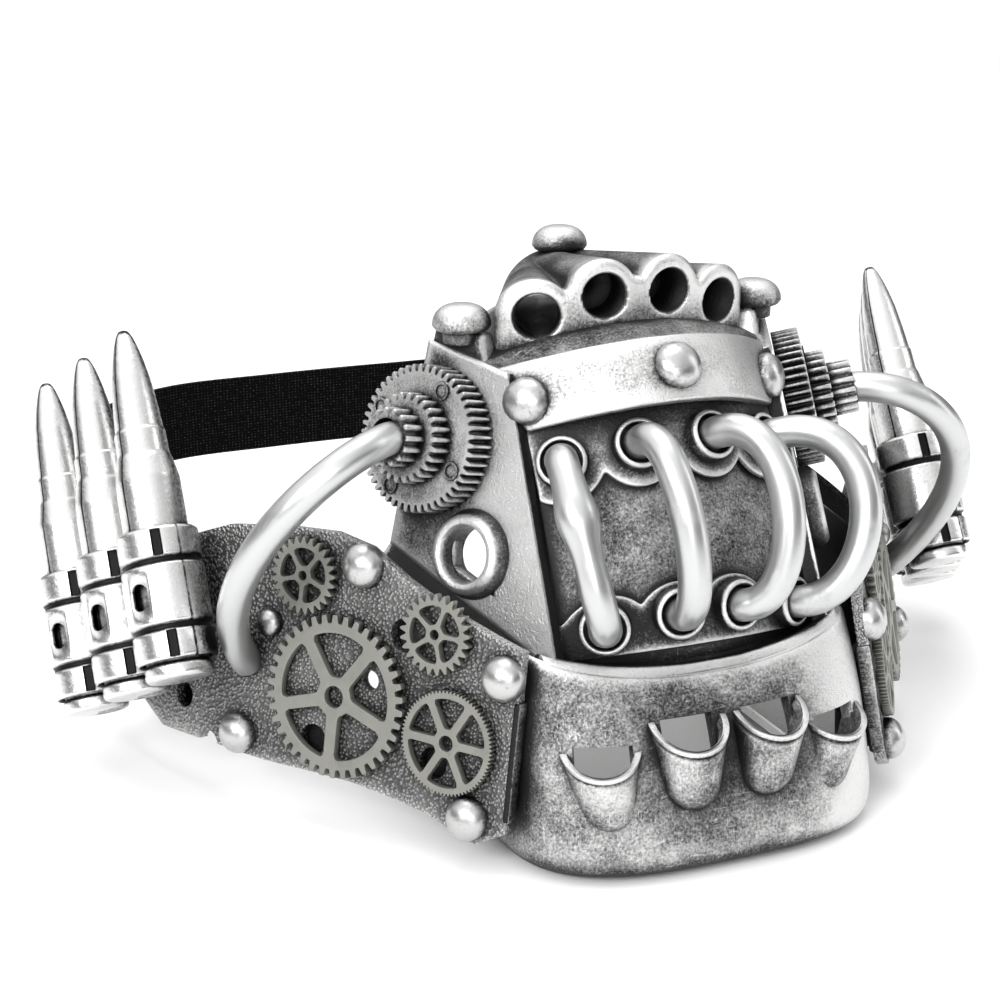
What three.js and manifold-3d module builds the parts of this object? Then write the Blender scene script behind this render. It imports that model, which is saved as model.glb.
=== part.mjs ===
// A half mask for the lower face in the steampunk manner: a moulded muzzle and chin cup, four
// bent tubes over the nose, stepped gear stacks, pierced cheek plates with flat gears, three
// linked cartridges on each side and an elastic strap. It stands on its chin.
// Millimetres, +Z up, the face looks along -Y, the wearer's head is on the +Y side.
import * as THREE from 'three';
import { mergeVertices } from 'three/addons/utils/BufferGeometryUtils.js';
import Module from 'manifold-3d';

const wasm = await Module();
wasm.setup();

// Placing. The pieces are drawn about a datum inside the nose, then lifted onto the chin.
const CHIN_DROP = 36;
const DEPTH_CENTRE = 8.4;
const SEAT = 0.3;
const WALL = 2.4;
const TIDY = 0.13;
const EDGE_MARGIN = 0.06;
const SIDES = [{ name: 'left', sign: -1 }, { name: 'right', sign: 1 }];

// Tube bay: the middle profile is a quadratic curve in y and z, swept back towards the sides
const BAY = {
  half: 28,
  foot: { y: -90.4, z: -4 },
  bend: { y: -92.6, z: 12 },
  head: { y: -70.6, z: 44 },
  sweepLow: 0.0135,
  sweepHigh: 0.0105,
  droop: 0.0085,
};

// Side panel of the right side, by its corners
const PANEL = {
  frontLow: [26, -89.6, -2],
  rearLow: [43.4, -51.7, 12.2],
  frontHigh: [23.8, -66.3, 44],
  rearHigh: [34.5, -48.8, 46],
};

// Ear that carries the side bolt, right side, by its corners
const EAR = {
  frontLow: [28, -61, 41],
  rearLow: [35.6, -48.4, 41],
  frontHigh: [28.4, -56, 50],
  rearHigh: [31.4, -49.6, 50],
  depth: 4.6,
};

// Bridge of the nose, from the brow back to the rim on the face
const BRIDGE = {
  front: { y: -73.5, half: 27.5, sweep: 13, fall: 6.8 },
  rear: { y: -25, half: 31, sweep: -23, fall: 6 },
  z: 50.3,
  hump: 2,
};

// Brow band, by its lower and upper edges
const BAND = {
  low: { y: -82, z: 42, half: 24.5, sweep: 12, fall: 6.3 },
  high: { y: -74.6, z: 52, half: 29, sweep: 14.6, fall: 7.4 },
  crown: 0.7,
  depth: 4.6,
};
const BAND_RIVETS = [
  { name: 'left', s: 0.045, t: 0.42 },
  { name: 'middle', s: 0.5, t: 0.5 },
  { name: 'right', s: 0.955, t: 0.42 },
];
const BAND_RIVET_RADIUS = 3.7;

// Chin cup: each row is one level of the wall, a rounded front on straight sides
const JAW = {
  shoulder: -80,
  rear: -38,
  roundness: 3,
  straightShare: 0.2,
  rearHeight: 0.42,
  rows: [
    { z: -36, half: 31.5, front: -100.5 },
    { z: -35.1, half: 34.2, front: -104.2 },
    { z: -32.4, half: 35.7, front: -106 },
    { z: -26, half: 35.8, front: -105 },
    { z: -13, half: 34.8, front: -100.3 },
    { z: -2.4, half: 32.8, front: -95 },
    { z: -0.6, half: 31.6, front: -93.6 },
  ],
};
const SCOOPS = [
  { x: -22.6, y: -96.4, z: -13.3, yaw: -20 },
  { x: -8.1, y: -99.3, z: -9.4, yaw: -6 },
  { x: 8.1, y: -99.3, z: -9.4, yaw: 6 },
  { x: 22.6, y: -96.4, z: -13.3, yaw: 20 },
];
const SCOOP = { topRadius: 6.8, lowRadius: 4.3, height: 15.5, wall: 1.4, lipTilt: 30 };

// Barrel block over the bridge: each barrel tapers from its mouth to its tail
const BARRELS = [
  { x: -18.2, y: -60.2, z: 53.7, tailX: -8.5 },
  { x: -6.4, y: -63.6, z: 57, tailX: -3 },
  { x: 6.4, y: -63.6, z: 57, tailX: 3 },
  { x: 18.2, y: -60.2, z: 53.7, tailX: 8.5 },
];
const BARREL = {
  mouthRadius: 6.2,
  tailRadius: 4.3,
  boreMouth: 3.8,
  boreTail: 2.9,
  boreOverrun: 0.2,
  tailY: -25.5,
  tailZ: 54.4,
};
const BLOCK = { half: 21, rise: 4.2, depth: 9 };

// Mushroom bolts: foot of the post, pointing up
const BOLTS = [
  { name: 'left', x: -29.6, y: -52.8, z: 50 },
  { name: 'top', x: 0, y: -29.5, z: 58.4 },
  { name: 'right', x: 29.6, y: -52.8, z: 50 },
];
const BOLT = { postRadius: 2.9, postHeight: 2.2, capRadius: 4.9, capHeight: 3.6 };

// Collar plates on the bay: the collar row and the free edge, along the bay's height
const COLLAR_X = [-19.2, -6.6, 6.6, 19.2];
const COLLAR_PLATES = [
  { name: 'upper', row: 0.83, lobe: -0.108, back: 0.94 },
  { name: 'lower', row: 0.31, lobe: 0.17, back: 0.14 },
];
const COLLAR_PLATE = { half: 23.4, thick: 1.2, lobeRadius: 7.2, valley: 0.5 };
const COLLAR = { outer: 4.7, inner: 3.45, height: 2.3 };

// Front tubes: how far each end runs out before the bend
const FRONT_TUBES = [
  { upper: 14, lower: 11, turn: -5 },
  { upper: 20, lower: 13, turn: -1.5 },
  { upper: 28, lower: 18, turn: 3 },
  { upper: 31, lower: 20, turn: 9 },
];
const TUBE_RADIUS = 2.9;

// Side ports in the panels, along the panel's length and height
const PORT = { s: 0.48, t: 0.22, hole: 6.6, barrel: 6.2, bore: 4.4, flange: 7.4, height: 2.6, cut: 8 };

// Gear stack on the panel, from the big wheel outwards
const STACK = { s: 0.79, t: 0.585, socket: 3.3, socketDepth: 3 };
const STACK_GEARS = [
  { teeth: 22, tip: 13.2, root: 11.8, thick: 6.4 },
  { teeth: 12, tip: 7.8, root: 6.6, thick: 4.2 },
  { teeth: 10, tip: 5.6, root: 4.7, thick: 4.6 },
];

// Cheek plate frame: its run from the front corner, measured back (u) and up (v)
const CHEEK = {
  corner: [43.6, -87.6, -26.3],
  yaw: 35.7,
  tilt: 10.8,
  face: -1.6,
  thick: 2,
  bendFrom: 45,
  bend: 0.0055,
};
const CHEEK_OUTLINE = [
  { u: -7.5, low: -1.4, high: 30.3 },
  { u: -1.7, low: -4.7, high: 31.8 },
  { u: 8.7, low: -1.6, high: 34.9 },
  { u: 17.4, low: -0.4, high: 38.6 },
  { u: 25.2, low: 0.2, high: 42.8 },
  { u: 33, low: 0.1, high: 44.2 },
  { u: 44, low: -0.2, high: 43.5 },
  { u: 54, low: 0.3, high: 41.5 },
  { u: 57, low: 2, high: 40.6 },
  { u: 60, low: 0.2, high: 39.6 },
  { u: 66.6, low: -0.2, high: 34 },
  { u: 73.2, low: 4.2, high: 22 },
];
const CHEEK_HOLES = [
  { u: 63, v: 7, radius: 2 },
  { u: 16.3, v: 28.7, radius: 3 },
  { u: 22.7, v: 19.3, radius: 1.8 },
  { u: 33.8, v: 6.1, radius: 2.8 },
  { u: 8.1, v: 7.6, radius: 2.8 },
];
const CHEEK_RIVETS = [
  { name: 'top', u: 26, v: 39.4, radius: 3.1 },
  { name: 'front', u: -4.4, v: 25.3, radius: 3.2 },
  { name: 'chin', u: 0, v: -0.3, radius: 3.3 },
  { name: 'rear', u: 50.6, v: 3.6, radius: 3.1 },
  { name: 'small', u: 45.3, v: 25.5, radius: 1.8 },
];
const FLAT_GEARS = [
  { name: 'wheel', u: 29, v: 15.2, teeth: 22, tip: 14.6, root: 13.1, rim: 10.6, hub: 3.9, bore: 2.1, arms: 5 },
  { name: 'disc', u: 4.9, v: 12.1, teeth: 18, tip: 9.2, root: 8.6, rim: 7.2, hub: 2.9, bore: 1.4, arms: 6 },
  { name: 'star', u: 9.3, v: 30.4, teeth: 10, tip: 7.1, root: 6, rim: 4.7, hub: 1.9, bore: 0.9, arms: 5 },
  { name: 'pinion', u: 38, v: 35.6, teeth: 10, tip: 7, root: 5.9, rim: 4.6, hub: 1.9, bore: 0.9, arms: 5 },
];
const FLAT_GEAR = { thick: 1.5, armAngle: 0.34, windowTaper: 0.3 };

// Behind each plate the cup's edge steps out and runs along the plate
const FLANGE = { front: -6, rear: 12, low: 2, high: 25, root: [30.5, -90.6], sink: 0.8, wall: 1.8 };
const SKIRT = {
  frontU: -5.5,
  rearU: 31,
  frontV: 24,
  rearV: 39.5,
  tuck: 0.5,
  rootT: 0.04,
  rootSink: 1.2,
  wall: 1.6,
};

// Side tube of the right side: hand-set points between the gear socket and the plate
const SIDE_TUBE_ROUTE = [
  [57.5, -67.4, 37],
  [65.5, -63.6, 29.5],
  [70.8, -58, 18.5],
  [73, -52.4, 8],
];
const SIDE_TUBE_FOOT = { u: 48.7, v: 18.7, lead: 6 };

// Cartridges of the right side: tip of the foremost one, the step to the next, the lean
const CARTRIDGE = { tip: [82, -14, 47], step: [5.3, 12.9, -7.5], lean: 30, count: 3 };
const CARTRIDGE_PROFILE = [
  { r: 0, h: 0 },
  { r: 6.2, h: 0.4 },
  { r: 6.2, h: 2.8 },
  { r: 5.9, h: 37.5 },
  { r: 4.9, h: 44 },
  { r: 4.2, h: 53 },
  { r: 2.7, h: 61 },
  { r: 1.2, h: 65.4 },
  { r: 0, h: 66 },
];
const LINK_BORE = 6.5;
const LINK_PROFILE = [
  { r: 7.4, h: 3.2 },
  { r: 7.4, h: 8.6 },
  { r: 6.9, h: 9.2 },
  { r: 7.6, h: 9.9 },
  { r: 7.6, h: 20.4 },
  { r: 6.9, h: 21 },
  { r: 7.5, h: 21.6 },
  { r: 7.5, h: 27.2 },
];
const LINK_HOLE = { h: 15, radius: 1.9, turn: 71 };
const LINK_TAB = { from: 6.9, to: 8.45, width: 5, low: 11, high: 19 };

// Strap: half of its route from the right plate to the middle of the back, in plan
const STRAP = { width: 20, thick: 1.5, middle: -8.5, anchors: [54, 60, 66, 72], anchorV: 18 };
const STRAP_ROUTE = [
  [77, -3],
  [73.5, 40],
  [66.5, 80],
  [57, 105],
  [40, 118],
  [16, 121.5],
];

// Finishes
const ANTIQUE_SILVER = { color: 0x8f8f8f, roughness: 0.42, metalness: 0.85 };
const DARK_SILVER = { color: 0x6d6d6c, roughness: 0.55, metalness: 0.7 };
const SATIN_TUBE = { color: 0xb4b4b4, roughness: 0.35, metalness: 0.9 };
const BRIGHT_SILVER = { color: 0xc9c9c9, roughness: 0.25, metalness: 1 };
const GRAINED_PLATE = { color: 0x707070, roughness: 0.6, metalness: 0.55 };
const FLAT_METAL = { color: 0xa9a89e, roughness: 0.4, metalness: 0.8 };
const BLACK_ELASTIC = { color: 0x0c0c0d, roughness: 0.9, metalness: 0 };

const { clamp, lerp, smoothstep, degToRad } = THREE.MathUtils;
const vec = (x, y, z) => new THREE.Vector3(x, y, z);

// A closed mesh as a solid that can be joined and cut
function toSolid(geometry) {
  const bare = geometry.clone();
  for (const name of Object.keys(bare.attributes)) {
    if (name !== 'position') bare.deleteAttribute(name);
  }
  const merged = mergeVertices(bare, 1e-4);
  const vertProperties = Float32Array.from(merged.attributes.position.array);
  const triVerts = Uint32Array.from(merged.index.array);
  return new wasm.Manifold(new wasm.Mesh({ numProp: 3, vertProperties, triVerts }));
}

// A solid's own triangles as a mesh
function trianglesOf(solid) {
  const mesh = solid.getMesh();
  const points = new Float32Array(mesh.numVert * 3);
  for (let i = 0; i < mesh.numVert; i += 1) {
    points.set(mesh.vertProperties.subarray(i * mesh.numProp, i * mesh.numProp + 3), i * 3);
  }
  const geometry = new THREE.BufferGeometry();
  geometry.setAttribute('position', new THREE.BufferAttribute(points, 3));
  geometry.setIndex(new THREE.BufferAttribute(Uint32Array.from(mesh.triVerts), 1));
  geometry.computeVertexNormals();
  return geometry;
}

// Back from a solid to a mesh, with slivers along the cuts drawn together
function toGeometry(solid) {
  const tidied = mainBody(solid).asOriginal().simplify(TIDY);
  return trianglesOf(mainBody(toSolid(trianglesOf(mainBody(tidied)))));
}

// The largest body of a solid, where a cut leaves loose slivers behind
function mainBody(solid) {
  const bodies = solid.decompose();
  return bodies.reduce((best, body) => (body.volume() > best.volume() ? body : best));
}

// Several closed meshes as one solid
function joined(geometries) {
  return geometries.map(toSolid).reduce((sum, solid) => sum.add(solid));
}

// The same geometry on the other side of the face, with its triangles turned back outwards
function mirrored(geometry) {
  const copy = geometry.clone();
  if (!copy.index) return mirrored(mergeVertices(copy));
  copy.scale(-1, 1, 1);
  const index = copy.index.array;
  for (let i = 0; i < index.length; i += 3) {
    [index[i + 1], index[i + 2]] = [index[i + 2], index[i + 1]];
  }
  return copy;
}

const onSide = (geometry, sign) => (sign > 0 ? geometry : mirrored(geometry));

// Unit normal of a surface given by two parameters
function normalAt(surface, s, t) {
  const e = 1e-3;
  const ds = surface(s + e, t).sub(surface(s - e, t));
  const dt = surface(s, t + e).sub(surface(s, t - e));
  return ds.cross(dt).normalize();
}

// The same surface run on past its four edges
function grown(surface, margin) {
  return (s, t) => surface(lerp(-margin, 1 + margin, s), lerp(-margin, 1 + margin, t));
}

// A closed wall: one face lies out from the surface, the other lies in from it
function slab(surface, columns, rows, out, inward) {
  const positions = [];
  const index = [];
  for (const shift of [out, -inward]) {
    for (let j = 0; j <= rows; j += 1) {
      for (let i = 0; i <= columns; i += 1) {
        const s = i / columns;
        const t = j / rows;
        const point = surface(s, t).addScaledVector(normalAt(surface, s, t), shift);
        positions.push(point.x, point.y, point.z);
      }
    }
  }
  const layer = (columns + 1) * (rows + 1);
  const at = (side, i, j) => side * layer + j * (columns + 1) + i;
  const quad = (a, b, c, d) => index.push(a, b, c, a, c, d);
  for (let j = 0; j < rows; j += 1) {
    for (let i = 0; i < columns; i += 1) {
      quad(at(0, i, j), at(0, i + 1, j), at(0, i + 1, j + 1), at(0, i, j + 1));
      quad(at(1, i, j), at(1, i, j + 1), at(1, i + 1, j + 1), at(1, i + 1, j));
    }
    quad(at(0, columns, j + 1), at(0, columns, j), at(1, columns, j), at(1, columns, j + 1));
    quad(at(0, 0, j), at(0, 0, j + 1), at(1, 0, j + 1), at(1, 0, j));
  }
  for (let i = 0; i < columns; i += 1) {
    quad(at(0, i + 1, 0), at(0, i, 0), at(1, i, 0), at(1, i + 1, 0));
    quad(at(0, i, rows), at(0, i + 1, rows), at(1, i + 1, rows), at(1, i, rows));
  }
  const geometry = new THREE.BufferGeometry();
  geometry.setAttribute('position', new THREE.Float32BufferAttribute(positions, 3));
  geometry.setIndex(index);
  geometry.computeVertexNormals();
  return geometry;
}

// A turned form on +Z from a profile of radius and height
function turned(profile, sides) {
  const points = profile.map((p) => new THREE.Vector2(p.r, p.h));
  return new THREE.LatheGeometry(points, sides).rotateX(Math.PI / 2);
}

// A turned rod from one point to another, tapering between two radii
function rod(from, to, startRadius, endRadius, sides) {
  const length = from.distanceTo(to);
  const profile = [
    { r: 0, h: 0 },
    { r: startRadius, h: 0 },
    { r: endRadius, h: length },
    { r: 0, h: length },
  ];
  return aimed(turned(profile, sides), from, to.clone().sub(from));
}

// A form drawn on +Z, set down at a point and turned towards a direction
function aimed(geometry, point, direction) {
  const turn = new THREE.Quaternion().setFromUnitVectors(vec(0, 0, 1), direction.clone().normalize());
  return geometry.clone().applyMatrix4(new THREE.Matrix4().compose(point, turn, vec(1, 1, 1)));
}

// A round bar along a curve
function bentBar(curve, radius, sides, steps) {
  const ring = new THREE.Shape();
  for (let i = 0; i < sides; i += 1) {
    const angle = (2 * Math.PI * i) / sides;
    const point = [radius * Math.cos(angle), radius * Math.sin(angle)];
    if (i === 0) ring.moveTo(...point);
    else ring.lineTo(...point);
  }
  return new THREE.ExtrudeGeometry(ring, { steps, extrudePath: curve });
}

// A low dome with a flat foot, for rivets
function dome(radius) {
  return turned([
    { r: 0, h: 0 },
    { r: radius, h: 0 },
    { r: radius * 0.86, h: radius * 0.45 },
    { r: radius * 0.45, h: radius * 0.74 },
    { r: 0, h: radius * 0.82 },
  ], 7);
}

// A surface between two edges, each with its middle, its half width and its sweep at the ends
function edgeSurface(low, high) {
  return (s, t) => {
    const k = 2 * s - 1;
    return vec(
      lerp(low.half, high.half, t) * k,
      lerp(low.y + low.sweep * k * k, high.y + high.sweep * k * k, t),
      lerp(low.z - low.fall * k * k, high.z - high.fall * k * k, t),
    );
  };
}

// A flat or twisted four-sided surface, front to rear and low to high
function quadSurface(corners) {
  const [fl, rl, fh, rh] = [corners.frontLow, corners.rearLow, corners.frontHigh, corners.rearHigh]
    .map((corner) => vec(...corner));
  return (s, t) => fl.clone().lerp(rl, s).lerp(fh.clone().lerp(rh, s), t);
}

// Quadratic curve through the bay's three middle points
function bayProfile(t) {
  const [foot, bend, head] = [(1 - t) ** 2, 2 * t * (1 - t), t ** 2];
  const blend = (axis) => foot * BAY.foot[axis] + bend * BAY.bend[axis] + head * BAY.head[axis];
  return { y: blend('y'), z: blend('z') };
}

function bayAt(x, t) {
  const middle = bayProfile(t);
  const sweep = lerp(BAY.sweepLow, BAY.sweepHigh, t) * x * x;
  return vec(x, middle.y + sweep, middle.z - BAY.droop * x * x * smoothstep(t, 0, 0.25));
}

const baySurface = (s, t) => bayAt(BAY.half * (2 * s - 1), t);
const panelSurface = quadSurface(PANEL);
const earSurface = quadSurface(EAR);

function bridgeSurface(s, t) {
  const { front, rear, z, hump } = BRIDGE;
  const height = z + hump * (smoothstep(t, 0, 0.2) - smoothstep(t, 0.4, 1));
  return edgeSurface({ ...front, z: height }, { ...rear, z: height })(s, t);
}

function bandSurface(s, t) {
  const point = edgeSurface(BAND.low, BAND.high)(s, t);
  const crown = BAND.crown * Math.sin(Math.PI * t);
  return point.add(vec(0, -crown, 0.5 * crown));
}

// The cheek plate's frame: u runs back along the plate, v up it, w out of it
const cheekTurn = new THREE.Matrix4().multiplyMatrices(
  new THREE.Matrix4().makeRotationZ(degToRad(90 - CHEEK.yaw)),
  new THREE.Matrix4().makeRotationX(degToRad(90 - CHEEK.tilt)),
);
const cheekFrame = new THREE.Matrix4().makeTranslation(...CHEEK.corner).multiply(cheekTurn);
const cheekBend = (u) => CHEEK.bend * Math.max(0, u - CHEEK.bendFrom) ** 2;
const cheekLocal = (u, v, w) => vec(u, v, w - cheekBend(u));
const cheekPoint = (u, v, w) => cheekLocal(u, v, w).applyMatrix4(cheekFrame);
const cheekNormal = vec(0, 0, 1).transformDirection(cheekFrame);

// The skirt closes the panel's foot against the back of the cheek plate
function skirtSurface(s, t) {
  const back = CHEEK.face - CHEEK.thick - SKIRT.tuck;
  const low = cheekPoint(lerp(SKIRT.frontU, SKIRT.rearU, s), lerp(SKIRT.frontV, SKIRT.rearV, s), back);
  const high = panelSurface(s, SKIRT.rootT)
    .addScaledVector(normalAt(panelSurface, s, SKIRT.rootT), -SKIRT.rootSink);
  return low.lerp(high, t);
}

// The two side panels alone, swollen by a gap
function panelWalls(gap) {
  const wall = slab(grown(panelSurface, gap * EDGE_MARGIN), 3, 3, gap, WALL + gap);
  return toSolid(wall).add(toSolid(mirrored(wall)));
}

// One wall of the muzzle for every surface, mirrored where it lies on one side. With a gap the
// walls are swollen all round, to cut clearance into the pieces that sit on them.
function muzzleWalls(gap) {
  const outer = gap;
  const inner = WALL + gap;
  const margin = gap * EDGE_MARGIN;
  const halves = [
    slab(grown(panelSurface, margin), 2, 2, outer, inner),
    slab(grown(earSurface, margin), 1, 1, outer, EAR.depth + gap),
    slab(grown(skirtSurface, margin), 4, 1, outer, SKIRT.wall + gap),
  ];
  const whole = [
    slab(grown(baySurface, margin), 10, 5, outer, inner),
    slab(grown(bridgeSurface, margin), 10, 4, outer, inner),
  ];
  return joined([...whole, ...halves, ...halves.map(mirrored)]);
}

const panelSpot = (s, t) => ({ point: panelSurface(s, t), normal: normalAt(panelSurface, s, t) });

function muzzleShell() {
  const port = panelSpot(PORT.s, PORT.t);
  const reach = port.normal.clone().multiplyScalar(PORT.cut);
  const hole = rod(port.point.clone().sub(reach), port.point.clone().add(reach), PORT.hole, PORT.hole, 12);
  return mainBody(muzzleWalls(0).subtract(toSolid(hole)).subtract(toSolid(mirrored(hole))));
}

// One level of the chin cup in plan, from the left rear round the front to the right rear
function jawPlan(s, half, front) {
  const share = JAW.straightShare;
  const fromEnd = Math.min(s, 1 - s) / share;
  const sign = s < 0.5 ? -1 : 1;
  if (fromEnd < 1) return { x: sign * half, y: lerp(JAW.rear, JAW.shoulder, fromEnd) };
  const angle = Math.PI * ((s - share) / (1 - 2 * share) - 0.5);
  const power = 2 / JAW.roundness;
  const wide = Math.sign(angle) * Math.abs(Math.sin(angle)) ** power;
  const deep = Math.max(0, Math.cos(angle)) ** power;
  return { x: half * wide, y: JAW.shoulder + (front - JAW.shoulder) * deep };
}

function jawSurface(s, t) {
  const place = clamp(t, 0, 0.999999) * (JAW.rows.length - 1);
  const row = Math.floor(place);
  const [low, high] = [JAW.rows[row], JAW.rows[row + 1]];
  const mix = (column) => lerp(low[column], high[column], place - row);
  const { x, y } = jawPlan(s, mix('half'), mix('front'));
  const height = lerp(JAW.rearHeight, 1, smoothstep(-y, -JAW.rear, -JAW.shoulder));
  return vec(x, y, JAW.rows[0].z + (mix('z') - JAW.rows[0].z) * height);
}

function jawFloor() {
  const shape = new THREE.Shape();
  const foot = JAW.rows[0];
  const steps = 18;
  for (let i = 0; i <= steps; i += 1) {
    const { x, y } = jawPlan(i / steps, foot.half, foot.front);
    if (i === 0) shape.moveTo(x, y);
    else shape.lineTo(x, y);
  }
  return new THREE.ExtrudeGeometry(shape, { depth: WALL, bevelEnabled: false }).translate(0, 0, foot.z);
}

// Cup edge behind the plate: a step out from the cup, then a run along the plate's back
function flangeWalls() {
  const back = CHEEK.face - CHEEK.thick - SKIRT.tuck;
  const run = (s, t) => {
    const u = lerp(FLANGE.front, FLANGE.rear, s);
    return cheekPoint(u, lerp(FLANGE.low, FLANGE.high, t), back);
  };
  const step = (s, t) => {
    const edge = run(0, t).addScaledVector(cheekNormal, -FLANGE.sink);
    return vec(...FLANGE.root, edge.z).lerp(edge, s);
  };
  return [slab(run, 2, 2, 0, FLANGE.wall), slab(step, 2, 2, 0, FLANGE.wall)];
}

// A scoop: a tapering pipe down the cup's front, cut open at a slant
function scoopParts(scoop) {
  const { topRadius, lowRadius, height, wall, lipTilt } = SCOOP;
  const above = 6;
  const taper = (topRadius - lowRadius) / height;
  const pipe = (inset, sides) => turned([
    { r: 0, h: -height + inset },
    { r: lowRadius - inset - 1, h: -height + inset },
    { r: lowRadius - inset, h: -height + inset + 1 },
    { r: topRadius + taper * above - inset, h: above },
    { r: 0, h: above },
  ], sides);
  const lid = new THREE.BoxGeometry(30, 30, 20).translate(0, 0, 10).rotateX(degToRad(lipTilt));
  const place = (geometry) => geometry.rotateZ(degToRad(scoop.yaw)).translate(scoop.x, scoop.y, scoop.z);
  const [outer, bore, cut] = [pipe(0, 10), pipe(wall, 10), lid].map(place).map(toSolid);
  return { outer: outer.subtract(cut), bore: bore.subtract(cut) };
}

function jawShell() {
  const walls = [slab(jawSurface, 18, JAW.rows.length - 1, 0, WALL), jawFloor()];
  const flanges = flangeWalls();
  let cup = joined([...walls, ...flanges, ...flanges.map(mirrored)]);
  const inside = toSolid(slab((s, t) => jawSurface(s, lerp(0.3, 0.97, t)), 20, 3, -1, 9));
  for (const scoop of SCOOPS) {
    const { outer, bore } = scoopParts(scoop);
    cup = cup.subtract(bore).add(outer.subtract(bore).subtract(inside));
  }
  return mainBody(cup.subtract(muzzleWalls(SEAT)));
}

function portManifold() {
  const ends = BARRELS.map((barrel) => ({
    mouth: vec(barrel.x, barrel.y, barrel.z),
    tail: vec(barrel.tailX, BARREL.tailY, BARREL.tailZ),
  }));
  const web = (s, t) => {
    const k = 2 * s - 1;
    const [inner, outer] = [ends[2], ends[3]];
    const share = k * k;
    const mouth = inner.mouth.clone().lerp(outer.mouth, share).setX(BLOCK.half * k);
    const tail = vec(outer.tail.x * k, BARREL.tailY, BARREL.tailZ);
    return mouth.lerp(tail, t);
  };
  let block = toSolid(slab(web, 6, 1, BLOCK.rise, BLOCK.depth));
  for (const { mouth, tail } of ends) {
    block = block.add(toSolid(rod(mouth, tail, BARREL.mouthRadius, BARREL.tailRadius, 10)));
  }
  for (const { mouth, tail } of ends) {
    const ahead = mouth.clone().sub(tail).multiplyScalar(BARREL.boreOverrun);
    const start = mouth.clone().add(ahead);
    const stop = tail.clone().sub(ahead);
    block = block.subtract(toSolid(rod(start, stop, BARREL.boreMouth, BARREL.boreTail, 8)));
  }
  return mainBody(block.subtract(muzzleWalls(SEAT)));
}

function bandWall(gap) {
  return toSolid(slab(grown(bandSurface, gap * EDGE_MARGIN), 12, 2, gap, BAND.depth + gap));
}

// A bolt with a short post and a mushroom cap
function bolt() {
  const { postRadius, postHeight, capRadius, capHeight } = BOLT;
  return turned([
    { r: 0, h: -2 },
    { r: postRadius, h: -2 },
    { r: postRadius, h: postHeight },
    { r: capRadius, h: postHeight + 0.4 },
    { r: capRadius * 0.92, h: postHeight + capHeight * 0.5 },
    { r: capRadius * 0.5, h: postHeight + capHeight * 0.9 },
    { r: 0, h: postHeight + capHeight },
  ], 8);
}

// How far a lobed edge reaches at x: full at a collar, less between two
function lobeAt(x) {
  const nearest = Math.min(...COLLAR_X.map((collar) => Math.abs(x - collar)));
  const reach = Math.sqrt(Math.max(0, 1 - (nearest / COLLAR_PLATE.lobeRadius) ** 2));
  return Math.max(COLLAR_PLATE.valley, reach);
}

function collarPlate({ row, lobe, back }) {
  const top = SEAT + COLLAR_PLATE.thick;
  const face = (s, t) => {
    const x = COLLAR_PLATE.half * (2 * s - 1);
    const edge = row + lobe * lobeAt(x);
    const [low, high] = lobe < 0 ? [edge, back] : [back, edge];
    return bayAt(x, lerp(low, high, t));
  };
  let plate = toSolid(slab(face, 20, 2, top, -SEAT));
  const { outer, inner, height } = COLLAR;
  const ring = turned([
    { r: inner, h: SEAT + 0.2 },
    { r: outer, h: SEAT + 0.2 },
    { r: outer, h: top + height },
    { r: inner, h: top + height },
    { r: inner, h: SEAT + 0.2 },
  ], 8);
  for (const x of COLLAR_X) {
    const { point, normal } = baySpot(x, row);
    plate = plate.add(toSolid(aimed(ring, point, normal)));
  }
  return plate;
}

function baySpot(x, t) {
  const s = (x / BAY.half + 1) / 2;
  return { point: bayAt(x, t), normal: normalAt(baySurface, s, t) };
}

// A front tube leaves the upper collar square to the bay and comes back to the lower one
function frontTube(number) {
  const { upper, lower, turn } = FRONT_TUBES[number];
  const rise = 2 * SEAT + COLLAR_PLATE.thick;
  const [top, low] = COLLAR_PLATES.map((plate) => baySpot(COLLAR_X[number], plate.row));
  const start = top.point.addScaledVector(top.normal, rise);
  const end = low.point.addScaledVector(low.normal, rise);
  const lean = (normal) => normal.clone().applyAxisAngle(vec(0, 0, 1), degToRad(turn));
  const out = start.clone().addScaledVector(top.normal, COLLAR.height);
  const back = end.clone().addScaledVector(low.normal, COLLAR.height);
  const bow = new THREE.CubicBezierCurve3(
    out,
    out.clone().addScaledVector(lean(top.normal), upper),
    back.clone().addScaledVector(lean(low.normal), lower),
    back,
  );
  const curve = new THREE.CatmullRomCurve3([start, ...bow.getPoints(8), end], false, 'centripetal');
  return bentBar(curve, TUBE_RADIUS, 7, 9);
}

// A ring port: a barrel through the panel with a rolled lip outside
function sidePort() {
  const { barrel, bore, flange, height } = PORT;
  const profile = turned([
    { r: bore, h: -WALL - 1 },
    { r: barrel, h: -WALL - 1 },
    { r: barrel, h: SEAT },
    { r: flange, h: SEAT },
    { r: flange, h: SEAT + 0.8 },
    { r: bore + 0.7, h: height },
    { r: bore, h: height - 0.7 },
    { r: bore, h: -WALL - 1 },
  ], 10);
  const { point, normal } = panelSpot(PORT.s, PORT.t);
  return aimed(profile, point, normal);
}

// The outline of a gear with pointed teeth
function gearOutline(path, teeth, tip, root) {
  for (let i = 0; i < 2 * teeth; i += 1) {
    const angle = (Math.PI * i) / teeth;
    const radius = i % 2 ? root : tip;
    const point = [radius * Math.cos(angle), radius * Math.sin(angle)];
    if (i === 0) path.moveTo(...point);
    else path.lineTo(...point);
  }
  path.closePath();
  return path;
}

const plateOf = (shape, depth) => new THREE.ExtrudeGeometry(shape, { depth, bevelEnabled: false });

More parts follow.
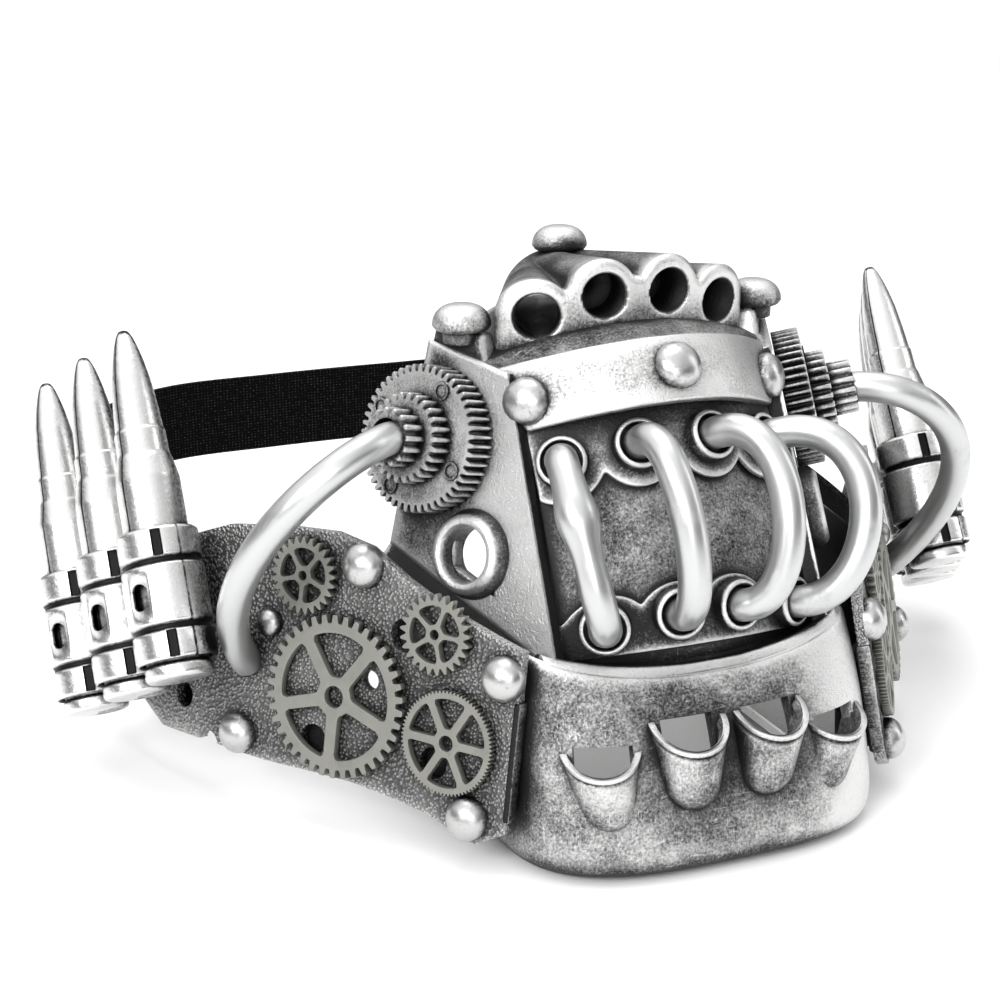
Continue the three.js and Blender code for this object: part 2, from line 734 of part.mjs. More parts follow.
// Three gears on one axis with a socket for the tube, drawn on +Z
function gearStack() {
  let height = 0;
  let stack = null;
  for (const { teeth, tip, root, thick } of STACK_GEARS) {
    const wheel = plateOf(gearOutline(new THREE.Shape(), teeth, tip, root), thick + SEAT);
    const solid = toSolid(wheel.translate(0, 0, height - (stack ? SEAT : 0)));
    stack = stack ? stack.add(solid) : solid;
    height += thick;
  }
  const top = height + 1;
  const socket = rod(vec(0, 0, height - STACK.socketDepth), vec(0, 0, top), STACK.socket, STACK.socket, 10);
  return { solid: stack.subtract(toSolid(socket)), height };
}

function stackSpot() {
  const { point, normal } = panelSpot(STACK.s, STACK.t);
  return { point: point.addScaledVector(normal, SEAT), normal };
}

function seatedStack() {
  const { point, normal } = stackSpot();
  return aimed(toGeometry(gearStack().solid), point, normal);
}

// The side tube, from the stack's socket over and down to the cheek plate
function sideTube() {
  const { point, normal } = stackSpot();
  const start = point.clone().addScaledVector(normal, gearStack().height - STACK.socketDepth + SEAT);
  const { u, v, lead } = SIDE_TUBE_FOOT;
  const foot = cheekPoint(u, v, CHEEK.face + SEAT);
  const route = [
    start,
    start.clone().addScaledVector(normal, 5),
    ...SIDE_TUBE_ROUTE.map((spot) => vec(...spot)),
    foot.clone().addScaledVector(cheekNormal, lead),
    foot,
  ];
  return bentBar(new THREE.CatmullRomCurve3(route, false, 'centripetal'), TUBE_RADIUS, 7, 11);
}

// The cheek plate in its own frame, cut to its outline row by row
function cheekPlate() {
  const last = CHEEK_OUTLINE.length - 1;
  const face = (s, t) => {
    const place = clamp(s, 0, 0.999999) * last;
    const row = Math.floor(place);
    const mix = (column) => lerp(CHEEK_OUTLINE[row][column], CHEEK_OUTLINE[row + 1][column], place - row);
    return cheekLocal(mix('u'), lerp(mix('low'), mix('high'), t), CHEEK.face);
  };
  let plate = toSolid(slab(face, last, 2, 0, CHEEK.thick));
  for (const { u, v, radius } of CHEEK_HOLES) {
    plate = plate.subtract(toSolid(rod(vec(u, v, -12), vec(u, v, 4), radius, radius, 6)));
  }
  return toGeometry(plate);
}

// A flat gear with curved windows between its spokes
function flatGear({ teeth, tip, root, rim, hub, bore, arms }) {
  const shape = gearOutline(new THREE.Shape(), teeth, tip, root);
  const pitch = (2 * Math.PI) / arms;
  for (let i = 0; i < arms; i += 1) {
    const from = i * pitch + FLAT_GEAR.armAngle / 2;
    const to = (i + 1) * pitch - FLAT_GEAR.armAngle / 2;
    const window = new THREE.Path();
    const narrow = ((to - from) / 2) * FLAT_GEAR.windowTaper;
    const corners = [[rim, to], [rim, from], [hub, from + narrow], [hub, to - narrow]];
    window.setFromPoints(corners.map(([r, a]) => new THREE.Vector2(r * Math.cos(a), r * Math.sin(a))));
    shape.holes.push(window);
  }
  const round = new THREE.Path().absarc(0, 0, bore, 0, -2 * Math.PI, true);
  shape.holes.push(new THREE.Path().setFromPoints(round.getPoints(5).slice(0, -1)));
  return plateOf(shape, FLAT_GEAR.thick);
}

// The tab that joins a link to the next one along the belt
function linkTab(sign) {
  const { from, to, width, low, high } = LINK_TAB;
  const [across, back, down] = CARTRIDGE.step;
  const heading = Math.atan2(Math.hypot(back, down), sign * across);
  return new THREE.BoxGeometry(to - from, width, high - low)
    .translate((from + to) / 2, 0, (low + high) / 2)
    .rotateZ(heading);
}

// A cartridge link: three bands round the case, with an oval window in the wide one
function cartridgeLink(sign, joined) {
  const last = LINK_PROFILE[LINK_PROFILE.length - 1];
  const sleeve = turned([
    { r: LINK_BORE, h: LINK_PROFILE[0].h },
    ...LINK_PROFILE,
    { r: LINK_BORE, h: last.h },
    { r: LINK_BORE, h: LINK_PROFILE[0].h },
  ], 8);
  const turn = degToRad(LINK_HOLE.turn);
  const way = vec(sign * Math.sin(turn), -Math.cos(turn), 0);
  const spot = vec(0, 0, LINK_HOLE.h).addScaledVector(way, 4);
  const window = rod(spot, spot.clone().addScaledVector(way, 6), LINK_HOLE.radius, LINK_HOLE.radius, 6);
  const pierced = toSolid(sleeve).subtract(toSolid(window));
  return toGeometry(joined ? pierced.add(toSolid(linkTab(sign))) : pierced);
}

// The strap in one run, from the right plate round the back to the left plate
function strapBand() {
  const behind = CHEEK.face - CHEEK.thick - STRAP.thick / 2 - 4 * SEAT;
  const anchored = STRAP.anchors.map((u) => cheekPoint(u, STRAP.anchorV, behind).setZ(STRAP.middle));
  const right = [...anchored, ...STRAP_ROUTE.map(([x, y]) => vec(x, y, STRAP.middle))];
  const left = right.map(({ x, y, z }) => vec(-x, y, z)).reverse();
  const route = new THREE.CatmullRomCurve3([...right, ...left], false, 'centripetal');
  const lean = degToRad(CHEEK.tilt);
  const band = (s, t) => {
    const point = route.getPoint(clamp(s, 0, 1));
    const share = 1 - smoothstep(Math.min(s, 1 - s), 0.08, 0.24);
    const away = s < 0.5 ? -1 : 1;
    const up = vec(away * Math.cos(degToRad(CHEEK.yaw)), Math.sin(degToRad(CHEEK.yaw)), 0)
      .multiplyScalar(Math.sin(lean * share));
    up.z = Math.cos(lean * share);
    return point.addScaledVector(up, (t - 0.5) * STRAP.width);
  };
  return slab(band, 24, 1, STRAP.thick / 2, STRAP.thick / 2);
}

// Assembly
const mask = new THREE.Group();
mask.position.set(0, -DEPTH_CENTRE, CHIN_DROP);

function addMesh(parent, name, geometry, finish) {
  const mesh = new THREE.Mesh(geometry, new THREE.MeshStandardMaterial(finish));
  mesh.name = name;
  parent.add(mesh);
  return mesh;
}

addMesh(mask, 'muzzle_shell', toGeometry(muzzleShell()), ANTIQUE_SILVER);
addMesh(mask, 'jaw_shell', toGeometry(jawShell()), ANTIQUE_SILVER);
addMesh(mask, 'brow_band', toGeometry(mainBody(bandWall(0).subtract(muzzleWalls(SEAT)))), ANTIQUE_SILVER);

for (const { name, s, t } of BAND_RIVETS) {
  const foot = bandSurface(s, t);
  const rivet = aimed(dome(BAND_RIVET_RADIUS).translate(0, 0, -1.2), foot, normalAt(bandSurface, s, t));
  const clear = toSolid(rivet).subtract(bandWall(SEAT)).subtract(muzzleWalls(SEAT));
  addMesh(mask, `band_rivet_${name}`, toGeometry(mainBody(clear)), BRIGHT_SILVER);
}

const block = portManifold();
addMesh(mask, 'port_manifold', toGeometry(block), ANTIQUE_SILVER);
const boltSeats = block.add(block.translate([0, 0, SEAT]));
for (const { name, x, y, z } of BOLTS) {
  const clear = toSolid(bolt().translate(x, y, z)).subtract(muzzleWalls(SEAT)).subtract(boltSeats);
  addMesh(mask, `bolt_${name}`, toGeometry(clear), ANTIQUE_SILVER);
}

for (const plate of COLLAR_PLATES) {
  const clear = collarPlate(plate).subtract(bandWall(SEAT)).subtract(panelWalls(SEAT));
  addMesh(mask, `collar_plate_${plate.name}`, toGeometry(mainBody(clear)), DARK_SILVER);
}
FRONT_TUBES.forEach((tube, number) => {
  addMesh(mask, `front_tube_${number + 1}`, frontTube(number), SATIN_TUBE);
});

const rightPort = sidePort();
const rightStack = seatedStack();
const rightTube = sideTube();
for (const { name, sign } of SIDES) {
  addMesh(mask, `side_port_${name}`, onSide(rightPort, sign), ANTIQUE_SILVER);
  addMesh(mask, `gear_stack_${name}`, onSide(rightStack, sign), DARK_SILVER);
  addMesh(mask, `side_tube_${name}`, onSide(rightTube, sign), SATIN_TUBE);
}

const rightPlate = cheekPlate();
for (const { name, sign } of SIDES) {
  const cheek = new THREE.Group();
  cheek.position.set(sign * CHEEK.corner[0], CHEEK.corner[1], CHEEK.corner[2]);
  cheek.rotation.order = 'ZYX';
  cheek.rotation.set(degToRad(90 - CHEEK.tilt), 0, sign * degToRad(90 - CHEEK.yaw));
  mask.add(cheek);
  addMesh(cheek, `cheek_plate_${name}`, onSide(rightPlate, sign), GRAINED_PLATE);
  const front = CHEEK.face + SEAT;
  for (const gear of FLAT_GEARS) {
    addMesh(cheek, `${gear.name}_${name}`, flatGear(gear), FLAT_METAL)
      .position.set(sign * gear.u, gear.v, front);
  }
  for (const rivet of CHEEK_RIVETS) {
    const foot = front - cheekBend(rivet.u);
    addMesh(cheek, `cheek_rivet_${rivet.name}_${name}`, dome(rivet.radius), BRIGHT_SILVER)
      .position.set(sign * rivet.u, rivet.v, foot);
  }
}

const cartridge = turned(CARTRIDGE_PROFILE, 8);
const lean = degToRad(CARTRIDGE.lean);
const length = CARTRIDGE_PROFILE[CARTRIDGE_PROFILE.length - 1].h;
for (const { name, sign } of SIDES) {
  const [joinedLink, lastLink] = [true, false].map((joined) => cartridgeLink(sign, joined));
  for (let i = 0; i < CARTRIDGE.count; i += 1) {
    const tip = vec(...CARTRIDGE.tip).addScaledVector(vec(...CARTRIDGE.step), i);
    const belt = new THREE.Group();
    belt.position.set(sign * tip.x, tip.y - length * Math.sin(lean), tip.z - length * Math.cos(lean));
    belt.rotation.x = -lean;
    mask.add(belt);
    addMesh(belt, `cartridge_${i + 1}_${name}`, cartridge, BRIGHT_SILVER);
    const link = i < CARTRIDGE.count - 1 ? joinedLink : lastLink;
    addMesh(belt, `link_${i + 1}_${name}`, link, BRIGHT_SILVER);
  }
}

addMesh(mask, 'strap', strapBand(), BLACK_ELASTIC);

export default mask;
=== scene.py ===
"""Looks of a silver steampunk half mask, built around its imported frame.

Shapes are worked out in millimetres about a datum inside the nose: +X to the viewer's right,
-Y out of the face, +Z up. They move into the row frame, in metres, when a piece is made.
"""

from __future__ import annotations

import logging
import math
from dataclasses import dataclass, field
from enum import Enum
from typing import Callable, Sequence

import bmesh
import bpy
import numpy as np
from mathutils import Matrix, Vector

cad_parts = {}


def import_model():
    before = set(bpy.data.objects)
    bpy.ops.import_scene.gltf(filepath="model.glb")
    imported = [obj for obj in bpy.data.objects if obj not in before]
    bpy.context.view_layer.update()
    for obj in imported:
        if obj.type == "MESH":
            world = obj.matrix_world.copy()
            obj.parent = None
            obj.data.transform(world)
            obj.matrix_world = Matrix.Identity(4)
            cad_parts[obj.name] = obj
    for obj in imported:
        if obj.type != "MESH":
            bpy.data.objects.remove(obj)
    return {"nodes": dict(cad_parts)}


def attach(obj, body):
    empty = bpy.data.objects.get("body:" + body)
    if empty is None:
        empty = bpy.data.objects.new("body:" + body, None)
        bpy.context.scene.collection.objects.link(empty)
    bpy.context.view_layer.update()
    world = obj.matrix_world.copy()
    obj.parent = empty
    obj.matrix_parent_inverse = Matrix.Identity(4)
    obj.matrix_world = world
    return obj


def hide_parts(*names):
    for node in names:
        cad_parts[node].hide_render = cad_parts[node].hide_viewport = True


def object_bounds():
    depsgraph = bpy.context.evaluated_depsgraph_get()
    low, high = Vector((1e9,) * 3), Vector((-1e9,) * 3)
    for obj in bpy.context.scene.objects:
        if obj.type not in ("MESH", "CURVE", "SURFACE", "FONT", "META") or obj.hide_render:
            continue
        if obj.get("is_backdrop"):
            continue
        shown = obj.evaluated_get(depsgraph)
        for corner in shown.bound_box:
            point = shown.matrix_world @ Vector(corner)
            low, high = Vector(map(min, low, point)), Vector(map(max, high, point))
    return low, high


LOG = logging.getLogger("mask")
Array = np.ndarray
Surface = Callable[[Array, Array], Array]
Pair = tuple[float, float]
Triple = tuple[float, float, float]
Material = bpy.types.Material
Piece = bpy.types.Object

METRE = 0.001
DATUM = np.array([0.0, -8.4, 36.0])
SEAT = 0.3
BODY = "root"
SHARP_ANGLE = 40.0
BEVEL_ANGLE = 45.0
FLOOR_LEVEL = -36.02
SCRATCH_CUT = (0.6, 0.72)


class Side(Enum):
    """The two sides of the mask, as the viewer sees them."""

    LEFT = -1
    RIGHT = 1

    @property
    def word(self) -> str:
        """The side's name as the frame's nodes spell it."""
        return self.name.lower()


class Slot(Enum):
    """The record's material slots."""

    ANTIQUE = "antique_silver"
    DARK = "dark_silver"
    TUBE = "satin_tube"
    BRIGHT = "bright_silver"
    PLATE = "grained_plate"
    GEAR = "flat_metal"
    ELASTIC = "black_elastic"


def vec(x: float, y: float, z: float) -> Array:
    """A point or direction as an array."""
    return np.array([x, y, z], float)


def lerp(a: Array | float, b: Array | float, t: Array | float) -> Array | float:
    """The value a share t of the way from a to b."""
    return a + (b - a) * t


def ease(x: Array | float, low: float, high: float) -> Array:
    """A smooth step from 0 at low to 1 at high."""
    k = np.clip((np.asarray(x, float) - low) / (high - low), 0.0, 1.0)
    return k * k * (3.0 - 2.0 * k)


def unit(v: Array) -> Array:
    """Vectors scaled to length one along the last axis."""
    return v / np.linalg.norm(v, axis=-1, keepdims=True)


def spline(stations: Sequence[float], values: Array, x: Array) -> Array:
    """A smooth curve through values at rising stations.

    Cubic Hermite: each span blends its two ends and their slopes, and a slope is the mean of the
    two spans beside it.

    Args:
        stations: Where the values stand.
        values: One row of values for each station.
        x: Where to read the curve.

    Returns:
        The curve's values at x.
    """
    at = np.asarray(stations, float)
    y = np.asarray(values, float)
    slope = np.gradient(y, at, axis=0)
    i = np.clip(np.searchsorted(at, x, side="right") - 1, 0, len(at) - 2)
    width = at[i + 1] - at[i]
    k = (x - at[i]) / width
    if y.ndim > 1:
        k, width = k[..., None], width[..., None]
    near = (1 + 2 * k) * (1 - k) ** 2 * y[i] + k * (1 - k) ** 2 * width * slope[i]
    far = k**2 * (3 - 2 * k) * y[i + 1] + k**2 * (k - 1) * width * slope[i + 1]
    return near + far


def route(points: Sequence[Sequence[float]], count: int) -> Array:
    """A smooth route through a few points, by the distance along their chords.

    Args:
        points: The points that the route passes.
        count: How many points to return.

    Returns:
        Points along the route, one row each.
    """
    knots = np.asarray(points, float)
    steps = np.linalg.norm(np.diff(knots, axis=0), axis=1) ** 0.5
    stations = np.concatenate([[0.0], np.cumsum(steps)])
    return spline(stations, knots, np.linspace(0, stations[-1], count))


def surface_normals(surface: Surface, s: Array, t: Array) -> Array:
    """Unit normals of a surface: the cross product of its two slopes, from small steps.

    Args:
        surface: Point of two parameters.
        s: First parameters.
        t: Second parameters.

    Returns:
        One normal for each pair.
    """
    e = 1e-3
    along = surface(s + e, t) - surface(s - e, t)
    up = surface(s, t + e) - surface(s, t - e)
    return unit(np.cross(along, up))


def even(count: int) -> Array:
    """Evenly spaced stations, the first at 0 and the last at 1."""
    return np.linspace(0.0, 1.0, count)


def stations_with(count: int, *extra: float) -> Array:
    """Evenly spaced stations with extra ones put in, and those that crowd an extra one left out.

    Args:
        count: How many even stations.
        *extra: The extra stations.

    Returns:
        The stations in order.
    """
    plain = even(count)
    crowded = np.min(np.abs(plain[:, None] - np.array(extra)), axis=1) < 0.3 / count
    return np.unique(np.concatenate([plain[~crowded], extra, [0.0, 1.0]]))


@dataclass
class Shape:
    """Points, faces and marks of one piece, in millimetres about the datum."""

    points: Array
    quads: Array
    marks: dict[str, Array] = field(default_factory=dict)
    uv: Array | None = None

    @classmethod
    def of_grid(
        cls,
        points: Array,
        keep: Array | None = None,
        marks: dict[str, Array] | None = None,
        uv: Array | None = None,
    ) -> Shape:
        """A sheet of quads on a grid of points, rows first.

        Args:
            points: Rows x columns x 3.
            keep: Which of the grid's cells have a face, all of them by default.
            marks: Values on the grid's points, by name.
            uv: Rows x columns x 2.

        Returns:
            The sheet, facing the cross product of its column and row directions.
        """
        rows, columns = points.shape[:2]
        index = np.arange(rows * columns).reshape(rows, columns)
        cells = np.stack([index[:-1, :-1], index[:-1, 1:], index[1:, 1:], index[1:, :-1]], -1)
        quads = cells.reshape(-1, 4) if keep is None else cells[keep]
        flat = {name: np.broadcast_to(v, (rows, columns)).reshape(-1) for name, v in (marks or {}).items()}
        return cls(points.reshape(-1, 3), quads, flat, None if uv is None else uv.reshape(-1, 2))

    @classmethod
    def joined(cls, shapes: Sequence[Shape]) -> Shape:
        """Several shapes as one piece; a mark that a shape lacks is 0 there.

        Args:
            shapes: The shapes.

        Returns:
            One shape with all their points, faces and marks.
        """
        counts = np.cumsum([0] + [len(shape.points) for shape in shapes])
        names = sorted({name for shape in shapes for name in shape.marks})
        marks = {
            name: np.concatenate([shape.marks.get(name, np.zeros(len(shape.points))) for shape in shapes])
            for name in names
        }
        points = np.concatenate([shape.points for shape in shapes])
        quads = np.concatenate([shape.quads + start for shape, start in zip(shapes, counts)])
        return cls(points, quads, marks)

    def mirrored(self) -> Shape:
        """The shape on the other side of the face, its quads turned back outwards."""
        return Shape(self.points * [-1, 1, 1], self.quads[:, ::-1], self.marks, self.uv)

    def on(self, side: Side) -> Shape:
        """A right-hand shape set on either side."""
        return self if side is Side.RIGHT else self.mirrored()

    def flipped(self) -> Shape:
        """The same shape facing the other way."""
        return Shape(self.points, self.quads[:, ::-1], self.marks, self.uv)

    def moved(self, turn: Array, origin: Array) -> Shape:
        """The shape turned by a matrix whose columns are its new axes, then set at a point."""
        return Shape(self.points @ np.asarray(turn).T + origin, self.quads, self.marks, self.uv)

    def shifted(self, offset: Array) -> Shape:
        """The shape moved by an offset."""
        return Shape(self.points + offset, self.quads, self.marks, self.uv)

    def sooted(self, amount: Array | float) -> Shape:
        """The shape with a mark of dark wash and painted shade; an amount below 0 paints it lighter, as painted
        light.
        """
        soot = np.broadcast_to(np.asarray(amount, float), (len(self.points),))
        return Shape(self.points, self.quads, {**self.marks, "soot": soot}, self.uv)

    def aimed(self, origin: Array, direction: Array) -> Shape:
        """A shape drawn on +Z, set at a point and pointed in a direction."""
        return self.moved(axes_towards(direction), origin)


def axes_towards(direction: Array) -> Array:
    """A turn that takes +Z to a direction, as a matrix of column axes.

    Args:
        direction: Where +Z is to point.

    Returns:
        Three columns of unit length.
    """
    z = unit(np.asarray(direction, float))
    across = np.cross(vec(0, 0, 1) if abs(z[2]) < 0.95 else vec(0, 1, 0), z)
    x = unit(across)
    return np.stack([x, np.cross(z, x), z], axis=1)


def sheet(surface: Surface, s: Array, t: Array, keep: Array | None = None, width: float = 1.5) -> Shape:
    """A surface as a sheet, with a mark that rises to 1 along its edges.

    The mark is the falling exponential of the distance to the nearest edge of the sheet.

    Args:
        surface: Point of two parameters.
        s: Column stations.
        t: Row stations.
        keep: Cells that have a face.
        width: How fast the mark falls off, in millimetres.

    Returns:
        The sheet.
    """
    grid_s, grid_t = np.meshgrid(s, t)
    points = surface(grid_s, grid_t)
    across = np.linalg.norm(np.diff(points, axis=1), axis=2).cumsum(axis=1)
    up = np.linalg.norm(np.diff(points, axis=0), axis=2).cumsum(axis=0)
    from_left = np.pad(across, ((0, 0), (1, 0)))
    from_low = np.pad(up, ((1, 0), (0, 0)))
    sides = [from_left, from_left[:, -1:] - from_left, from_low, from_low[-1:] - from_low]
    edge = np.exp(-np.min(np.stack(sides), axis=0) / width)
    return Shape.of_grid(points, keep, {"edge": edge})


def turned(profile: Array, sides: int, radius: Array | None = None, edge: Array | None = None) -> Shape:
    """A profile of radius and height turned about +Z.

    A point is (r sin a, -r cos a, h), where r may be scaled by a factor that depends on the
    angle, as on a gear. The profile runs from the foot up on the outside, so that it faces out.

    Args:
        profile: Rows of radius and height.
        sides: Columns round the axis.
        radius: Factor on the radius for each row and column.
        edge: The edge mark for each profile row.

    Returns:
        The closed surface of the turning.
    """
    angle = np.linspace(0, 2 * np.pi, sides + 1)
    r = profile[:, :1] * (np.ones(sides + 1) if radius is None else radius)
    z = np.broadcast_to(profile[:, 1:2], r.shape)
    points = np.stack([r * np.sin(angle), -r * np.cos(angle), z], -1)
    marks = {} if edge is None else {"edge": np.broadcast_to(edge[:, None], r.shape)}
    return Shape.of_grid(points, None, marks)


def rounded(profile: Sequence[Sequence[float]], radius: float, steps: int = 4) -> Array:
    """An open profile whose corners are rounded.

    Each corner becomes a quadratic curve between the points a radius before and after it.

    Args:
        profile: Corner points.
        radius: How far from the corner the rounding starts, at most a third of a side.
        steps: Points in each rounding.

    Returns:
        The rounded profile.
    """
    p = np.asarray(profile, float)
    inner = p[1:-1]
    before, after = p[:-2] - inner, p[2:] - inner
    cut_before = np.minimum(radius, np.linalg.norm(before, axis=1) / 3)[:, None]
    cut_after = np.minimum(radius, np.linalg.norm(after, axis=1) / 3)[:, None]
    start = inner + unit(before) * cut_before
    end = inner + unit(after) * cut_after
    k = even(steps)[None, :, None]
    curve = (1 - k) ** 2 * start[:, None] + 2 * k * (1 - k) * inner[:, None] + k**2 * end[:, None]
    return np.concatenate([p[:1], curve.reshape(-1, 2), p[-1:]])


def cubic(a: Array, b: Array, c: Array, d: Array, count: int) -> Array:
    """Points of a cubic curve from a to d, with the handles b and c."""
    k = even(count)[:, None]
    return (1 - k) ** 3 * a + 3 * k * (1 - k) ** 2 * b + 3 * k**2 * (1 - k) * c + k**3 * d


def run_length(path: Array) -> Array:
    """The distance along a path at each of its points."""
    return np.pad(np.linalg.norm(np.diff(path, axis=0), axis=1).cumsum(), (1, 0))


def capped(rows: Array) -> Array:
    """Rows of which the first and the last are given three times, for the caps of a bar."""
    return np.concatenate([rows[:1]] * 2 + [rows] + [rows[-1:]] * 2)


def bar_along(path: Array, radius: float | Array, sides: int, reference: Array) -> Shape:
    """A round bar along a path with closed, slightly rounded ends.

    Each ring stands square to the path. Its first axis is the reference direction with the
    part along the path taken out.

    Args:
        path: Points of the centre line.
        radius: One radius, or one for each point.
        sides: Columns round the bar.
        reference: A direction that the path never runs along.

    Returns:
        The bar.
    """
    tangent = unit(np.gradient(path, axis=0))
    first = unit(reference - (tangent @ reference)[:, None] * tangent)
    second = np.cross(tangent, first)
    size = np.broadcast_to(np.asarray(radius, float), (len(path),))
    cap = np.array([0.0, 0.86])
    size = np.concatenate([cap * size[0], size, cap[::-1] * size[-1]])
    path, first, second = capped(path), capped(first), capped(second)
    angle = np.linspace(0, 2 * np.pi, sides + 1)
    ring = np.cos(angle)[:, None] * first[:, None] + np.sin(angle)[:, None] * second[:, None]
    points = path[:, None] + size[:, None, None] * ring
    uv = np.stack(np.broadcast_arrays(angle * size.max(), run_length(path)[:, None]), -1)
    return Shape.of_grid(points, uv=uv)


def border_loop(grid: Array) -> Array:
    """The points round a grid's border as one closed loop."""
    return np.concatenate([grid[0, :-1], grid[:-1, -1], grid[-1, :0:-1], grid[::-1, 0]])


def wall(surface: Surface, columns: int, rows: int, out: float, inward: float, soften: float = 0.8) -> Shape:
    """A closed wall on both sides of a surface.

    The section across the wall is a loop: the outer face, the rear edge, the inner face and the
    front edge, with the faces drawn in a little at the edges so that these look rounded.

    Args:
        surface: Middle surface of two parameters.
        columns: Cells along s.
        rows: Cells along t.
        out: Distance of the outer face.
        inward: Distance of the inner face.
        soften: How far the faces draw in at their edges.

    Returns:
        The wall as two sheets and their four edges.
    """
    s, t = np.meshgrid(even(columns + 1), even(rows + 1))
    base = surface(s, t)
    normal = surface_normals(surface, s, t)
    border = np.zeros(s.shape)
    border[[0, -1], :] = 1
    border[:, [0, -1]] = 1
    front = base + normal * (out - soften * border)[..., None]
    back = base - normal * (inward - soften * border)[..., None]
    marks = {"edge": border}
    band = Shape.of_grid(np.stack([border_loop(back), border_loop(front)]), None, {"edge": 1.0})
    faces = [Shape.of_grid(front, None, marks), Shape.of_grid(back, None, marks).flipped()]
    return Shape.joined([*faces, band])


def pierce(points: Array, plan: Array, holes: Sequence[Triple]) -> Array:
    """Cuts round holes into a grid: drops the cells inside and moves the rim's points onto the circle.

    Args:
        points: Rows x columns x 3, changed in place.
        plan: Rows x columns x 2, the flat coordinates in which the holes are round.
        holes: Middle and radius of each hole, in plan.

    Returns:
        Which cells keep their face.
    """
    middle = 0.25 * (plan[:-1, :-1] + plan[1:, :-1] + plan[:-1, 1:] + plan[1:, 1:])
    keep = np.ones(middle.shape[:2], bool)
    along, up = np.gradient(points, axis=1), np.gradient(points, axis=0)
    plan_along, plan_up = np.gradient(plan, axis=1), np.gradient(plan, axis=0)
    det = plan_along[..., 0] * plan_up[..., 1] - plan_along[..., 1] * plan_up[..., 0]
    for x, y, radius in holes:
        left = np.linalg.norm(middle - [x, y], axis=2) > radius
        corners = np.pad(left, 1, mode="edge")
        beside = np.stack([corners[:-1, :-1], corners[1:, :-1], corners[:-1, 1:], corners[1:, 1:]])
        rim = beside.any(axis=0) & ~beside.all(axis=0)
        away = plan - [x, y]
        reach = radius / np.maximum(np.linalg.norm(away, axis=2), 1e-6) - 1
        shift = np.where(rim[..., None], away * reach[..., None], 0)
        a = (shift[..., 0] * plan_up[..., 1] - shift[..., 1] * plan_up[..., 0]) / det
        b = (plan_along[..., 0] * shift[..., 1] - plan_along[..., 1] * shift[..., 0]) / det
        points += a[..., None] * along + b[..., None] * up
        keep &= left
    return keep


def make_object(
    name: str,
    shape: Shape,
    material: Material,
    thickness: float = 0.0,
    bevel: float = 0.0,
) -> Piece:
    """Puts a shape into the scene in the row frame, in metres.

    Args:
        name: The object's name.
        shape: Points and faces about the datum, in millimetres.
        material: Its finish.
        thickness: Wall thickness put behind a sheet, in millimetres.
        bevel: Rounding of its sharp edges, in millimetres.

    Returns:
        The new object.
    """
    mesh = bpy.data.meshes.new(name)
    mesh.from_pydata(((shape.points + DATUM) * METRE).tolist(), [], shape.quads.tolist())
    for mark, values in shape.marks.items():
        mesh.attributes.new(mark, "FLOAT", "POINT").data.foreach_set("value", values.astype(np.float32))
    if shape.uv is not None:
        corners = np.zeros(len(mesh.loops), np.int32)
        mesh.loops.foreach_get("vertex_index", corners)
        layer = mesh.uv_layers.new(name="run")
        layer.data.foreach_set("uv", (shape.uv[corners] * METRE).astype(np.float32).reshape(-1))
    weld(mesh)
    mesh.polygons.foreach_set("use_smooth", np.ones(len(mesh.polygons), bool))
    mesh.set_sharp_from_angle(angle=math.radians(SHARP_ANGLE))
    mesh.materials.append(material)
    piece = bpy.data.objects.new(name, mesh)
    bpy.context.scene.collection.objects.link(piece)
    if thickness:
        solid = piece.modifiers.new("wall", "SOLIDIFY")
        solid.thickness = thickness * METRE
        solid.offset = -1.0
        solid.use_even_offset = False
    if bevel:
        round_off = piece.modifiers.new("rounding", "BEVEL")
        round_off.width = bevel * METRE
        round_off.segments = 2
        round_off.limit_method = "ANGLE"
        round_off.angle_limit = math.radians(BEVEL_ANGLE)
    return piece


def weld(mesh: bpy.types.Mesh) -> None:
    """Merges the points of closed seams and poles, and drops the faces that this empties.

    Args:
        mesh: The mesh, changed in place.
    """
    work = bmesh.new()
    work.from_mesh(mesh)
    bmesh.ops.remove_doubles(work, verts=work.verts, dist=2e-6)
    bmesh.ops.dissolve_degenerate(work, edges=work.edges, dist=1e-7)
    work.to_mesh(mesh)
    work.free()


def settle(piece: Piece, slot: Slot, *nodes: str) -> None:
    """Ties a piece to the frame: its body, and the nodes that it stands for, which it hides.

    Args:
        piece: The finished object.
        slot: The record's material slot; not used.
        *nodes: Frame nodes that it replaces.
    """
    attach(piece, BODY)
    if nodes:
        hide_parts(*nodes)
    LOG.info("%s: %d faces, for %s", piece.name, len(piece.data.polygons), ", ".join(nodes) or "trim")


